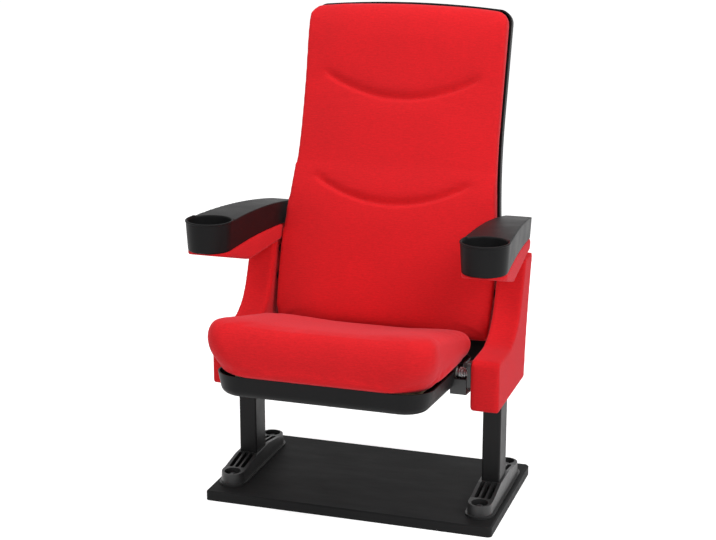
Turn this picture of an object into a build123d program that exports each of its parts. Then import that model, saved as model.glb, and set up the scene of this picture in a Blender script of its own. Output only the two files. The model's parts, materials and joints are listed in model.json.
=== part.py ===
from build123d import *
import math
import os

# Tip-up auditorium seat on a display base. Millimetres, +Z up. The origin is the centre of the base
# plate's underside; -Y is the front, where the sitter's knees are, and +X is the side of the right arm
# as seen from the front. The seat is modelled down, ready to sit on.

os.makedirs("parts", exist_ok=True)

# ---- clearances -----------------------------------------------------------------------------------
RUN = 0.3            # between pieces that move past each other
FIT = 0.2            # between a hole and the fixed piece in it
THIN = 0.02          # a strip that stands for a line

# ---- base plate -----------------------------------------------------------------------------------
BASE_BESIDE = 40.0           # base plate beyond the legs' middles
BASE_DEPTH = 368.0
BASE_THICK = 22.0
BASE_CORNER = 9.0
BASE_BEVEL = 3.0

# ---- feet and legs --------------------------------------------------------------------------------
LEG_SPACING = 560.0          # centre to centre
LEG_WIDE = 40.0
LEG_DEEP = 60.0
LEG_WALL = 2.5
LEG_CORNER = 4.0
LEG_TOP_DROP = 20.0          # the leg's top below the panel's shelf
FOOT_LONG = 300.0
FOOT_WIDE = 63.0
FOOT_LIP = 4.0               # thickness of the flange lip
FOOT_LIP_WIDE = 4.0          # how far the lip stands out of the body
FOOT_TIP_HIGH = 27.0
FOOT_MID_HIGH = 38.0
FOOT_RISE_START = 102.0      # from the leg's centre to where the top starts to fall to the tips
FOOT_DRAFT = 4.0             # degrees
FOOT_EDGE = 1.5              # rounding of the top's edges
FOOT_FLOOR = 11.0            # metal under the bolt heads
FOOT_BOLT_SPACING = 247.0
FOOT_POCKET = 36.0
FOOT_SLOT_WIDE = 9.0
FOOT_SLOT_PITCH = 13.5
FOOT_SLOTS = 3
BOLT_SHANK = 12.0
BOLT_HEAD = 25.0
BOLT_HEAD_HIGH = 12.0
BOLT_BITE = 16.0             # how deep the foot bolts reach into the base plate

# ---- side panels ----------------------------------------------------------------------------------
PANEL_INSIDE = 23.0          # from the leg's middle to the face towards the seat
PANEL_OUTSIDE = 36.0         # from the leg's middle to the outer face
PANEL_JOINT = 8.0            # from the leg's middle to the joint between the two shells
PANEL_WALL = 8.0             # edge walls, and the outer face
PANEL_FACE_IN = 3.0          # the face towards the seat
PANEL_FRONT = -133.0
PANEL_BOTTOM = 255.0
PANEL_BLOCK_HIGH = 107.0     # height of the wide lower block, whose top is the shelf
COLUMN_HIGH = 160.5          # from the shelf up to the arm
PANEL_NOSE = 14.0            # radius at the front of the shelf
PANEL_CORNER = 5.0
PANEL_SWEEP = 118.0          # radius from the shelf up into the column
COLUMN_FRONT_LOW = 34.0      # Y where the column's front line meets the shelf's height
COLUMN_FRONT_TOP = 100.0     # Y of the column's front line under the arm
PANEL_REAR_LOW = 114.5
PANEL_REAR_MID = 136.0
PANEL_REAR_RISE = 38.0       # height of PANEL_REAR_MID above the shelf
PANEL_REAR_TOP = 168.0
PANEL_EDGE = 3.0             # rounding of the long edges
PLATE_THICK = 5.0            # steel stanchion plate, on the leg's outer side
PLATE_GAP = 2.0              # between the plate and the panel's walls
BOSS = 16.0
SCREW_SHANK = 5.0
SCREW_HEAD = 11.0
SCREW_HEAD_HIGH = 2.2
LOW_SCREWS = [-60.0, 80.0]   # Y of the screws in the lower block
LOW_SCREW_RISE = 45.0        # above the panel's bottom
COLUMN_SCREWS = [(100.0, 127.5), (103.0, 50.5)]  # Y, and drop from the arm
TAB_FRONT = 113.0            # Y of the plate's tab up into the arm
TAB_REAR = 148.0
TAB_ROOT = 22.5              # how far below the arm the tab starts

# ---- arms -----------------------------------------------------------------------------------------
ARM_BODY_HIGH = 47.5         # red arm body, from its flat underside to the armrest, at the cup
ARM_BODY_REAR_HIGH = 22.5
ARM_HIGH = 61.0              # black armrest, at the cup
ARM_REAR_HIGH = 45.0
ARM_REAR = 208.0             # Y
ARM_FLARE = 37.0             # how much wider the arm is at the cup than behind
ARM_ROOM = 90.0              # from the cup's middle past the arm's sides
ARM_IN_CORNER = 14.0         # rear corners, from above
ARM_OUT_CORNER = 6.0
ARM_LEVEL = -135.0           # Y behind which the armrest falls towards the back
ARM_WALL = 4.0
BODY_INSET = 3.0             # arm body behind the armrest's top outline
BODY_KINK = -78.0            # Y where the underside starts to rise to the cup
BODY_KINK_RADIUS = 90.0
BODY_FRONT_IN = 2.0          # front end behind the cup's foot
BODY_FRONT_LIP = 3.0         # depth of the front end
BODY_REAR_IN = 3.0
BODY_REAR_ROUND = 20.0       # radius of the underside's rear end
CUP_OUT = 14.5               # cup's middle beyond the leg's
CUP_Y = -183.5
CUP_TOP_RADIUS = 49.5
CUP_FOOT_RADIUS = 46.0
CUP_WALL = 3.0
CUP_LIP = 2.0                # rim bead
LIP_END = 26.0               # how far behind the cup's middle the bead ends
ARM_PLATE_THICK = 5.0
ARM_PLATE_FLOOR = 8.0        # arm body under the steel arm plate
ARM_PLATE_FRONT = -70.0
ARM_PLATE_REAR = 150.0
ARM_PLATE_WIDE = 40.0
ARM_SCREWS = [-40.0, 125.0]  # Y
ARM_SCREW_SHORT = 15.0       # screw tips below the armrest's rear top

# ---- hinge ----------------------------------------------------------------------------------------
PIVOT_Y = -105.0
PIVOT_DROP = 37.0            # pivot below the panel's shelf
SEAT_TRAVEL = 75.0           # degrees, from down to tipped up
SHAFT = 16.0
SHAFT_PAST = 13.0            # the shaft's end past the collar, under the seat
BUSH_WALL = 2.2
COLLAR = 32.0
COLLAR_WIDE = 8.0
CRADLE_GAP = 2.0             # between the seat arm's outer end and the hinge block
CRADLE_HALF = 22.0
CRADLE_LOW = -41.0           # from the pivot
CRADLE_HIGH = -8.0
CRADLE_ROOM = 34.0           # round room for the spring
CRADLE_CORNER = 6.0
NUT_ACROSS = 24.0
NUT_THICK = 8.0
NUT_ROOM = 31.0
WASHER = 26.0
WASHER_THICK = 1.5
FLANGE_THICK = 8.0           # hinge block's flange, on the panel
SPIGOT = 36.0
BLOCK_DISC = 48.0
BLOCK_LOBE = 17.0            # round ends of the flange at its pegs and bolts
PEG = 6.0
PEG_LONG = 7.0
BUFFER = 10.0
STOP_DOWN_DROP = 20.0        # from the pivot down to the lower buffer
STOP_UP_REACH = 14.0         # along the cradle's face to the upper buffer
BLOCK_BOLT = 6.0
BLOCK_BOLT_HEAD = 12.0
BLOCK_BOLT_HEAD_HIGH = 3.5
BLOCK_BOLTS = [(17.0, 17.0), (-17.0, -17.0)]    # from the pivot
SPRING_WIRE = 2.6
SPRING_MEAN = 25.0           # mean diameter
SPRING_BEND = 3.4            # length taken by the bend at each end
SPRING_TURNS = 4
SPRING_LONG = 28.0           # from the collar to the hinge block's flange

# ---- seat, in a frame at the pivot tilted by SEAT_PITCH --------------------------------------------
SEAT_PITCH = 4.8             # degrees, front high
BOARD_TOP = 13.0
BOARD_THICK = 21.0
BOARD_GAP = 1.5              # between the board's sides and the pan's hinge notches
BOARD_FRONT = -246.0
BOARD_REAR = 120.0
BOARD_CORNER = 50.0
FAN_AXIS = 376.0             # behind the pivot, where the cushion's top and bottom planes would meet
FAN_ANGLE = 9.6              # degrees between them
CUSHION_REAR_CORNER = 120.0
CUSHION_EDGE = 16.0          # rounding of the top's rim
CUSHION_CROWN = 6.0          # rise of the top's middle over its front and rear
CUSHION_OVER = 40.0          # how far the crowned cutter reaches past the foot, in front and behind
CUSHION_GAP = 15.0           # between the cushion's widest and the panels
# share of the fan angle, how far the side is drawn in, front and rear distance from the fan's axis,
# radius of the front corners
CUSHION_LAYERS = [
    (0.00, 25.0, 640.0, 250.0, 85.0), (0.25, 10.0, 656.0, 241.0, 72.0), (0.50, 1.0, 662.0, 236.0, 60.0),
    (0.75, 1.0, 660.0, 236.0, 50.0), (1.00, 9.0, 649.0, 241.0, 50.0), (1.25, 24.0, 630.0, 251.0, 50.0),
]
PAN_RIM = 13.0
PAN_GAP = 30.0               # between the pan's rim and the panels
PAN_FRONT = -262.0
PAN_REAR = 128.0
PAN_CORNER = 62.0
PAN_REAR_CORNER = 40.0
PAN_DEEP = 33.0              # from the pivot to the underside
PAN_DRAFT = 12.0             # degrees
PAN_ROUND = 20.0
PAN_WALL = 3.5
NOTCH_GAP = 3.0              # between the pan's hinge notch and the shaft's end
NOTCH_HALF = 30.0
RELIEF = 44.0                # round relief in the cushion above the hinge
SEAT_FLANGE_THICK = 4.0
SEAT_FLANGE_REACH = 52.0     # how far the seat arm's flange reaches in under the board
SEAT_FLANGE_HALF = 26.0
SEAT_FLANGE_CORNER = 8.0
SEAT_SCREW_EDGE = 10.0
SCREW_SHORT = 3.0            # board left over a screw's tip
PAN_SCREWS = [(-110.0, -150.0), (110.0, -150.0), (-110.0, 70.0), (110.0, 70.0)]

# ---- backrest, in a frame at the foot of its board tilted by BACK_RECLINE --------------------------
BACK_RECLINE = 16.4          # degrees
BACK_Y = 103.0
BACK_RISE = 7.0              # foot of the board above the pivot
BACK_HIGH = 738.0            # of the shell, along the board
BACK_FOAM = 58.0
BACK_CROWN = 9.0
BACK_SIDE_IN = 5.0           # sides drawn in towards the board
BACK_EDGE = 9.0
BACK_SHELL = 29.0
BACK_SHELL_WALL = 3.5
BACK_SHELL_ROUND = 12.0
BACK_TAIL = 110.0            # how far the shell's rear wall reaches below the board, behind the seat
BACK_TAIL_IN = 8.0           # its sides inside the shell's foot
BACK_TAIL_CORNER = 35.0
BACK_BOARD_THICK = 12.0
BACK_BOARD_INSET = 14.0
BACK_TOP_CORNER = 30.0
BACK_ARCH = 9.0              # rise of the top edge's middle over its ends
BACK_FOAM_SHORT = 5.0        # foam's top below the shell's
FOAM_CORNER_OVER = 2.0       # corner arcs start this far outside the foam's sides
BACK_GAP = 8.0               # between the back's widest and the panels
BACK_FOOT_IN = 8.0           # how far the sides draw in from the widest: at the foot,
BACK_NECK_IN = 6.5           # where the back narrows,
BACK_TOP_IN = 21.0           # and at the top
BACK_WIDE_Z = 122.0          # heights of the widest level and of the narrowing
BACK_NECK_Z = 240.0
# height along the board, foam thickness beyond BACK_FOAM
BACK_STATIONS = [
    (0.0, -14.0), (14.0, -3.0), (54.0, 0.0), (132.0, 0.0), (200.0, 2.0), (263.0, 4.0), (304.0, 4.0),
    (367.0, -6.0), (429.0, -8.0), (492.0, -9.0), (555.0, -8.0), (659.0, 0.0), (700.0, -2.0),
    (720.0, -8.0), (733.0, -20.0),
]
CHANNEL_SHORT = 44.0         # from a channel's end to the back's side
CHANNEL_SAG = 50.0
CHANNEL_WIRE = 11.0
CHANNEL_DEEP = 4.0
CHANNELS = [270.0, 506.0]    # height along the board of each channel's lowest point
BACK_BRACKET_THICK = 4.0
BACK_BRACKET_LOW = 85.0
BACK_BRACKET_HIGH = 200.0
BACK_BRACKET_FRONT = -42.0
BACK_BRACKET_REACH = 60.0
BACK_BOLTS = [105.0, 165.0]  # height along the board
BACK_BOLT_Y = -24.0
BACK_BOLT = 8.0
BACK_BOLT_HEAD = 13.0
BACK_BOLT_HEAD_HIGH = 5.0
BRACKET_GAP = 15.5           # between the bracket's outer face and the panel
SPACER = 18.0
BACK_SCREWS = [(-150.0, 120.0), (150.0, 120.0), (-150.0, 640.0), (150.0, 640.0)]

# ---- worked out from the above --------------------------------------------------------------------
LEG_X = LEG_SPACING / 2
LEG_OUT = LEG_X + LEG_WIDE / 2
BASE_WIDTH = LEG_SPACING + 2 * BASE_BESIDE
FOOT_SOLE = BASE_THICK + FOOT_LIP
PANEL_IN = LEG_X - PANEL_INSIDE
PANEL_OUT = LEG_X + PANEL_OUTSIDE
PANEL_SPLIT = LEG_X + PANEL_JOINT
PLATE_OUT = LEG_OUT + PLATE_THICK
CUP_X = LEG_X + CUP_OUT
FLANGE_IN = PANEL_IN - FLANGE_THICK
PEG_IN = FLANGE_IN - PEG_LONG
CRADLE_OUT = FLANGE_IN - CRADLE_GAP
COLLAR_IN = FLANGE_IN - SPRING_LONG - COLLAR_WIDE
SHAFT_IN = COLLAR_IN - SHAFT_PAST
NOTCH_IN = SHAFT_IN - NOTCH_GAP
PAN_HALF = PANEL_IN - PAN_GAP
BOARD_HALF = NOTCH_IN - PAN_WALL - BOARD_GAP
SEAT_FLANGE_IN = BOARD_HALF - SEAT_FLANGE_REACH
CUSHION_HALF = PANEL_IN - CUSHION_GAP
BRACKET_OUT = PANEL_IN - BRACKET_GAP
BACK_WIDE_HALF = PANEL_IN - BACK_GAP
BACK_FOOT_HALF = BACK_WIDE_HALF - BACK_FOOT_IN
BACK_NECK_HALF = BACK_WIDE_HALF - BACK_NECK_IN
BACK_TOP_HALF = BACK_WIDE_HALF - BACK_TOP_IN
CHANNEL_HALF = BACK_TOP_HALF - CHANNEL_SHORT
PANEL_SHELF = PANEL_BOTTOM + PANEL_BLOCK_HIGH
LEG_TOP = PANEL_SHELF - LEG_TOP_DROP
PIVOT_Z = PANEL_SHELF - PIVOT_DROP
BACK_Z = PIVOT_Z + BACK_RISE
ARM_UNDER = PANEL_SHELF + COLUMN_HIGH
ARM_JOIN = ARM_UNDER + ARM_BODY_HIGH
ARM_TOP = ARM_JOIN + ARM_HIGH
ARM_JOIN_REAR = ARM_UNDER + ARM_BODY_REAR_HIGH
ARM_TOP_REAR = ARM_JOIN_REAR + ARM_REAR_HIGH
CUP_RIM = ARM_TOP + CUP_LIP
ARM_PLATE_Z = ARM_UNDER + ARM_PLATE_FLOOR
TAB_LOW = ARM_UNDER - TAB_ROOT
PANEL_SCREWS = ([(y, PANEL_BOTTOM + LOW_SCREW_RISE) for y in LOW_SCREWS]
                + [(y, ARM_UNDER - drop) for y, drop in COLUMN_SCREWS])
SEAT_FRAME = Pos(0, PIVOT_Y, PIVOT_Z) * Rot(X=-SEAT_PITCH)
BACK_FRAME = Pos(0, BACK_Y, BACK_Z) * Rot(X=-BACK_RECLINE)
FOAM_HIGH = BACK_HIGH - BACK_FOAM_SHORT
ARC_MIDDLE = 1 - math.sqrt(0.5)      # how far in a quarter arc's middle lies, over its radius


def between(face, plane, low, high):
    """The prism over a sketch, from low to high along its plane's normal."""
    return extrude(plane.offset(low) * face, high - low)


def slab(face, low, high):
    return between(face, Plane.XY, low, high)


def side(face, x_in, x_out):
    """The prism over a sketch drawn in Y and Z, between two values of X."""
    return between(face, Plane.YZ, x_in, x_out)


def rod(x_in, x_out, diameter, y=0.0, z=0.0):
    return side(Pos(y, z) * Circle(diameter / 2), x_in, x_out)


def post(low, high, diameter, x=0.0, y=0.0):
    return slab(Pos(x, y) * Circle(diameter / 2), low, high)


def block(x0, x1, y0, y1, z0, z1):
    return Pos((x0 + x1) / 2, (y0 + y1) / 2, (z0 + z1) / 2) * Box(x1 - x0, y1 - y0, z1 - z0)


def turned(y, z, degrees):
    """A place given from the pivot, after the seat's frame turns by this angle with its front going up."""
    angle = math.radians(degrees)
    return (y * math.cos(angle) + z * math.sin(angle), z * math.cos(angle) - y * math.sin(angle))


def pad(half, front, rear, front_corner, rear_corner):
    """A cushion's outline from above, with its own radii in front and behind."""
    corners = [(-half, front), (half, front), (half, rear), (-half, rear)]
    radii = [front_corner, front_corner, rear_corner, rear_corner]
    return make_face(FilletPolyline(*corners, radius=radii, close=True))


# ---- base and legs --------------------------------------------------------------------------------
def foot_bolt_places():
    return [(x * LEG_X, y * FOOT_BOLT_SPACING / 2) for x in (-1, 1) for y in (-1, 1)]


def base_plate():
    plate = slab(RectangleRounded(BASE_WIDTH, BASE_DEPTH, BASE_CORNER), 0, BASE_THICK)
    plate = chamfer(plate.faces().sort_by(Axis.Z)[-1].edges(), BASE_BEVEL)
    for x, y in foot_bolt_places():
        plate -= post(BASE_THICK - BOLT_BITE - FIT, BASE_THICK + 1, BOLT_SHANK, x, y)
    return plate


def foot():
    """The cast foot of the right leg, with a bolt pocket at each end and slots between its ribs."""
    lip = slab(SlotOverall(FOOT_LONG, FOOT_WIDE, rotation=90), 0, FOOT_LIP)
    body_shape = SlotOverall(FOOT_LONG - 2 * FOOT_LIP_WIDE, FOOT_WIDE - 2 * FOOT_LIP_WIDE, rotation=90)
    body = extrude(body_shape, FOOT_MID_HIGH, taper=FOOT_DRAFT)
    half = FOOT_LONG / 2
    ridge = [(-half, 0), (-half, FOOT_TIP_HIGH), (-FOOT_RISE_START, FOOT_TIP_HIGH + 1),
             (-LEG_DEEP / 2 - 8, FOOT_MID_HIGH), (LEG_DEEP / 2 + 8, FOOT_MID_HIGH),
             (FOOT_RISE_START, FOOT_TIP_HIGH + 1), (half, FOOT_TIP_HIGH), (half, 0)]
    body &= side(make_face(Polyline(*ridge, close=True)), -FOOT_WIDE, FOOT_WIDE)
    casting = fillet((lip + body).edges().filter_by(Axis.Z, reverse=True).group_by(Axis.Z)[-1], FOOT_EDGE)
    slot_near = LEG_DEEP / 2 + 4
    slot_far = FOOT_BOLT_SPACING / 2 - FOOT_POCKET / 2 - 4
    for end in (-1, 1):
        bolt_y = end * FOOT_BOLT_SPACING / 2
        casting -= post(FOOT_FLOOR, FOOT_MID_HIGH + 1, FOOT_POCKET, 0, bolt_y)
        casting -= post(-1, FOOT_FLOOR + 1, BOLT_SHANK + 2 * FIT, 0, bolt_y)
        middle = end * (slot_near + slot_far) / 2
        for index in range(FOOT_SLOTS):
            x = (index - (FOOT_SLOTS - 1) / 2) * FOOT_SLOT_PITCH
            shape = SlotOverall(slot_far - slot_near, FOOT_SLOT_WIDE, rotation=90)
            casting -= slab(Pos(x, middle) * shape, FOOT_FLOOR, FOOT_MID_HIGH + 1)
    casting -= slab(RectangleRounded(LEG_WIDE, LEG_DEEP, LEG_CORNER), FOOT_LIP, FOOT_MID_HIGH + 1)
    return Pos(LEG_X, 0, BASE_THICK) * casting


def foot_bolts():
    bolts = []
    seat_z = BASE_THICK + FOOT_FLOOR
    for x, y in foot_bolt_places():
        dome_radius = (BOLT_HEAD**2 / 4 + BOLT_HEAD_HIGH**2) / (2 * BOLT_HEAD_HIGH)
        dome = Pos(x, y, seat_z + BOLT_HEAD_HIGH - dome_radius) * Sphere(dome_radius)
        head = dome & post(seat_z, seat_z + BOLT_HEAD_HIGH, BOLT_HEAD, x, y)
        bolts.append(head + post(BASE_THICK - BOLT_BITE, seat_z, BOLT_SHANK, x, y))
    return bolts


def leg():
    tube = RectangleRounded(LEG_WIDE, LEG_DEEP, LEG_CORNER)
    inside = RectangleRounded(LEG_WIDE - 2 * LEG_WALL, LEG_DEEP - 2 * LEG_WALL, LEG_CORNER - LEG_WALL)
    return Pos(LEG_X) * slab(tube - inside, FOOT_SOLE, LEG_TOP)


# ---- side panels ----------------------------------------------------------------------------------
def panel_outline():
    """The panel from the side, in Y and Z: a low block, and a column that leans back up to the arm."""
    front = FilletPolyline((0, PANEL_BOTTOM), (PANEL_FRONT, PANEL_BOTTOM), (PANEL_FRONT, PANEL_SHELF),
                           (COLUMN_FRONT_LOW, PANEL_SHELF), (COLUMN_FRONT_TOP, ARM_UNDER),
                           radius=[PANEL_CORNER, PANEL_NOSE, PANEL_SWEEP])
    top = Line((COLUMN_FRONT_TOP, ARM_UNDER), (PANEL_REAR_TOP, ARM_UNDER))
    rear = ThreePointArc((PANEL_REAR_TOP, ARM_UNDER), (PANEL_REAR_MID, PANEL_SHELF + PANEL_REAR_RISE),
                         (PANEL_REAR_LOW, PANEL_BOTTOM))
    bottom = Line((PANEL_REAR_LOW, PANEL_BOTTOM), (0, PANEL_BOTTOM))
    return make_face(Wire(front.edges() + top.edges() + rear.edges() + bottom.edges()))


def back_bolt_places():
    """Y and Z of the bolts that carry the backrest, in the seat's own frame."""
    places = [(BACK_FRAME * Pos(0, BACK_BOLT_Y, z)).position for z in BACK_BOLTS]
    return [(place.Y, place.Z) for place in places]


def block_bolt_places():
    return [(PIVOT_Y + y, PIVOT_Z + z) for y, z in BLOCK_BOLTS]


def tab(low, high, gap=0.0):
    """The stanchion plate's upper end, which passes into the arm."""
    return block(LEG_OUT - gap, PLATE_OUT + gap, TAB_FRONT - gap, TAB_REAR + gap, low, high)


def stanchion_plate():
    inset = offset(panel_outline(), -(PANEL_WALL + PLATE_GAP))
    plate = side(inset, LEG_OUT, PLATE_OUT) + tab(TAB_LOW, ARM_PLATE_Z)
    plate -= rod(LEG_OUT - 1, PLATE_OUT + 1, SHAFT, PIVOT_Y, PIVOT_Z)
    for y, z in PANEL_SCREWS:
        plate -= rod(LEG_OUT - 1, PLATE_OUT + 1, SCREW_SHANK + 2 * FIT, y, z)
    for y, z in back_bolt_places():
        plate -= rod(LEG_OUT - 1, PLATE_OUT + 1, BACK_BOLT, y, z)
    for y, z in block_bolt_places():
        plate -= rod(LEG_OUT - 1, PLATE_OUT + 1, BLOCK_BOLT, y, z)
    return plate


def leg_passage():
    return block(LEG_X - LEG_WIDE / 2 - FIT, LEG_OUT + FIT, -LEG_DEEP / 2 - FIT, LEG_DEEP / 2 + FIT,
                 PANEL_BOTTOM - 1, PANEL_BOTTOM + PANEL_WALL + 1)


def panel_outer():
    shape = panel_outline()
    shell = side(shape, PANEL_SPLIT, PANEL_OUT)
    shell = fillet(shell.faces().sort_by(Axis.X)[-1].edges(), PANEL_EDGE)
    shell -= side(offset(shape, -PANEL_WALL), PANEL_SPLIT - 1, PANEL_OUT - PANEL_WALL)
    shell -= leg_passage() + tab(TAB_LOW, ARM_UNDER + 1, FIT)
    for y, z in PANEL_SCREWS:
        shell += rod(PLATE_OUT, PANEL_OUT - PANEL_WALL, BOSS, y, z)
        shell -= rod(PLATE_OUT - 1, PANEL_OUT - PANEL_WALL / 2, SCREW_SHANK, y, z)
    return shell


def panel_inner():
    shape = panel_outline()
    shell = side(shape, PANEL_IN, PANEL_SPLIT)
    shell = fillet(shell.faces().sort_by(Axis.X)[0].edges(), PANEL_EDGE - 1)
    shell -= side(offset(shape, -PANEL_WALL), PANEL_IN + PANEL_FACE_IN, PANEL_SPLIT + 1)
    shell -= leg_passage()
    for y, z in PANEL_SCREWS:
        shell += rod(PANEL_IN + PANEL_FACE_IN, LEG_OUT, BOSS, y, z)
        shell -= rod(PANEL_IN - 1, LEG_OUT + 1, SCREW_SHANK + 2 * FIT, y, z)
        shell -= rod(PANEL_IN - 1, PANEL_IN + SCREW_HEAD_HIGH, SCREW_HEAD + 2 * FIT, y, z)
    for y, z in back_bolt_places():
        shell -= rod(PANEL_IN - 1, PANEL_SPLIT, SPACER + 2 * FIT, y, z)
    for y, z in block_bolt_places():
        shell -= rod(PANEL_IN - 1, PANEL_SPLIT, BLOCK_BOLT + 2 * FIT, y, z)
    shell -= rod(PANEL_IN - 1, PANEL_SPLIT, SPIGOT + 2 * FIT, PIVOT_Y, PIVOT_Z)
    return shell


def panel_screws():
    screws = []
    for y, z in PANEL_SCREWS:
        head = rod(PANEL_IN, PANEL_IN + SCREW_HEAD_HIGH, SCREW_HEAD, y, z)
        screws.append(head + rod(PANEL_IN, PANEL_OUT - PANEL_WALL / 2, SCREW_SHANK, y, z))
    return screws


# ---- arms -----------------------------------------------------------------------------------------
def arm_plan():
    """The armrest from above: a straight inner side, and an outer side that opens to the cup."""
    flare = math.atan2(ARM_FLARE, ARM_REAR - CUP_Y)
    leave = (CUP_X + CUP_TOP_RADIUS * math.cos(flare), CUP_Y + CUP_TOP_RADIUS * math.sin(flare))
    inner = CUP_X - CUP_TOP_RADIUS
    sides = FilletPolyline((inner, CUP_Y), (inner, ARM_REAR), (leave[0] - ARM_FLARE, ARM_REAR), leave,
                           radius=[ARM_IN_CORNER, ARM_OUT_CORNER])
    cup = ThreePointArc(leave, (CUP_X, CUP_Y - CUP_TOP_RADIUS), (inner, CUP_Y))
    return make_face(Wire(sides.edges() + cup.edges()))


def arm_draft():
    return math.degrees(math.atan2(CUP_TOP_RADIUS - CUP_FOOT_RADIUS, ARM_TOP - ARM_JOIN))


def arm_block(inset):
    """The armrest's drafted sides, drawn in by inset, as deep as the arm is anywhere."""
    shape = offset(arm_plan(), -inset) if inset else arm_plan()
    return extrude(Plane.XY.offset(ARM_TOP) * shape, -(ARM_TOP - ARM_JOIN_REAR + 1), taper=arm_draft())


def arm_profile(front, top_drop, rear):
    """The armrest from the side, in Y and Z: it is level at the cup and falls towards the back."""
    top = TangentArc((CUP_Y, ARM_TOP - top_drop), (rear, ARM_TOP_REAR - top_drop), tangent=(1, 0))
    under = TangentArc((ARM_LEVEL, ARM_JOIN), (rear, ARM_JOIN_REAR), tangent=(1, 0))
    lines = [Line((front, ARM_TOP - top_drop), (CUP_Y, ARM_TOP - top_drop)),
             Line((rear, ARM_TOP_REAR - top_drop), (rear, ARM_JOIN_REAR)),
             Line((ARM_LEVEL, ARM_JOIN), (front, ARM_JOIN)),
             Line((front, ARM_JOIN), (front, ARM_TOP - top_drop))]
    return make_face(Wire([top.edge(), under.edge()] + [line.edge() for line in lines]))


def across_arm(face):
    """The prism over a sketch drawn in Y and Z, from side to side through the arm."""
    return side(face, CUP_X - ARM_ROOM, CUP_X + ARM_ROOM)


def arm_bosses(diameter, low, high):
    x = PLATE_OUT - ARM_PLATE_WIDE / 2
    return [post(low, high, diameter, x, y) for y in ARM_SCREWS]


def armrest():
    """The black moulding: an arm that is hollow underneath, with the cup in its front end."""
    front = CUP_Y - CUP_TOP_RADIUS - 1
    arm = arm_block(0) & across_arm(arm_profile(front, 0, ARM_REAR + 1))
    lip = post(ARM_TOP - CUP_LIP, CUP_RIM, 2 * (CUP_TOP_RADIUS + CUP_LIP), CUP_X, CUP_Y)
    lip = fillet(lip.edges(), CUP_LIP / 2 - 0.1)
    lip &= block(CUP_X - ARM_ROOM, CUP_X + ARM_ROOM, CUP_Y - ARM_ROOM, CUP_Y + LIP_END,
                 ARM_TOP - CUP_LIP - 1, CUP_RIM + 1)
    arm += lip
    bore_shape = Plane.XY.offset(CUP_RIM) * Pos(CUP_X, CUP_Y) * Circle(CUP_TOP_RADIUS - CUP_WALL)
    arm -= extrude(bore_shape, -(CUP_RIM - ARM_JOIN - CUP_WALL), taper=arm_draft())
    hollow_front = CUP_Y + CUP_TOP_RADIUS + ARM_WALL
    hollow = block(CUP_X - ARM_ROOM, CUP_X + ARM_ROOM, hollow_front, ARM_REAR - ARM_WALL,
                   ARM_JOIN_REAR - 1, ARM_TOP)
    hollow &= across_arm(arm_hollow_profile())
    hollow &= arm_block(ARM_WALL)
    arm -= hollow
    under_top = across_arm(arm_profile(front, ARM_WALL / 2, ARM_REAR))
    for boss in arm_bosses(BOSS, ARM_JOIN_REAR, ARM_TOP):
        arm += boss & under_top
    for boss in arm_bosses(BOSS, ARM_PLATE_Z + ARM_PLATE_THICK, ARM_TOP_REAR - ARM_WALL):
        arm += boss
    for pilot in arm_bosses(SCREW_SHANK, ARM_PLATE_Z, ARM_TOP_REAR - ARM_SCREW_SHORT):
        arm -= pilot
    return arm


def arm_hollow_profile():
    """The armrest's side view, one wall below its top and open underneath."""
    top = TangentArc((CUP_Y, ARM_TOP - ARM_WALL), (ARM_REAR + 1, ARM_TOP_REAR - ARM_WALL), tangent=(1, 0))
    low = ARM_JOIN_REAR - 2
    rest = Polyline((ARM_REAR + 1, ARM_TOP_REAR - ARM_WALL), (ARM_REAR + 1, low), (CUP_Y, low),
                    (CUP_Y, ARM_TOP - ARM_WALL))
    return make_face(Wire(top.edges() + rest.edges()))


def arm_body():
    """The upholstered body under the armrest, which carries the cup's foot on its rising front."""
    front = CUP_Y - CUP_FOOT_RADIUS + BODY_FRONT_IN
    lower = FilletPolyline((front, ARM_JOIN), (front, ARM_JOIN - BODY_FRONT_LIP), (BODY_KINK, ARM_UNDER),
                           (ARM_REAR - BODY_REAR_IN, ARM_UNDER), (ARM_REAR - BODY_REAR_IN, ARM_JOIN_REAR),
                           radius=[1.0, BODY_KINK_RADIUS, BODY_REAR_ROUND])
    join = TangentArc((ARM_LEVEL, ARM_JOIN), (ARM_REAR - BODY_REAR_IN, ARM_JOIN_REAR), tangent=(1, 0))
    level = Line((ARM_LEVEL, ARM_JOIN), (front, ARM_JOIN))
    shape = make_face(Wire(lower.edges() + join.edges() + level.edges()))
    body = across_arm(shape)
    body &= slab(offset(arm_plan(), -BODY_INSET), ARM_UNDER, ARM_JOIN)
    plate_x = PLATE_OUT - ARM_PLATE_WIDE
    body -= block(plate_x - FIT, PLATE_OUT + FIT, ARM_PLATE_FRONT - FIT, ARM_PLATE_REAR + FIT,
                  ARM_PLATE_Z, ARM_JOIN + 1)
    body -= tab(ARM_UNDER - 1, ARM_PLATE_Z + 1, FIT)
    for hole in arm_bosses(SCREW_HEAD + 1, ARM_UNDER - 1, ARM_PLATE_Z + 1):
        body -= hole
    return body


def arm_plate():
    plate = block(PLATE_OUT - ARM_PLATE_WIDE, PLATE_OUT, ARM_PLATE_FRONT, ARM_PLATE_REAR,
                  ARM_PLATE_Z, ARM_PLATE_Z + ARM_PLATE_THICK)
    for hole in arm_bosses(SCREW_SHANK + 2 * FIT, ARM_PLATE_Z - 1, ARM_PLATE_Z + ARM_PLATE_THICK + 1):
        plate -= hole
    return plate


def armrest_screws():
    heads = arm_bosses(SCREW_HEAD, ARM_PLATE_Z - SCREW_HEAD_HIGH, ARM_PLATE_Z)
    shanks = arm_bosses(SCREW_SHANK, ARM_PLATE_Z - SCREW_HEAD_HIGH, ARM_TOP_REAR - ARM_SCREW_SHORT)
    return [head + shank for head, shank in zip(heads, shanks)]


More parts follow.
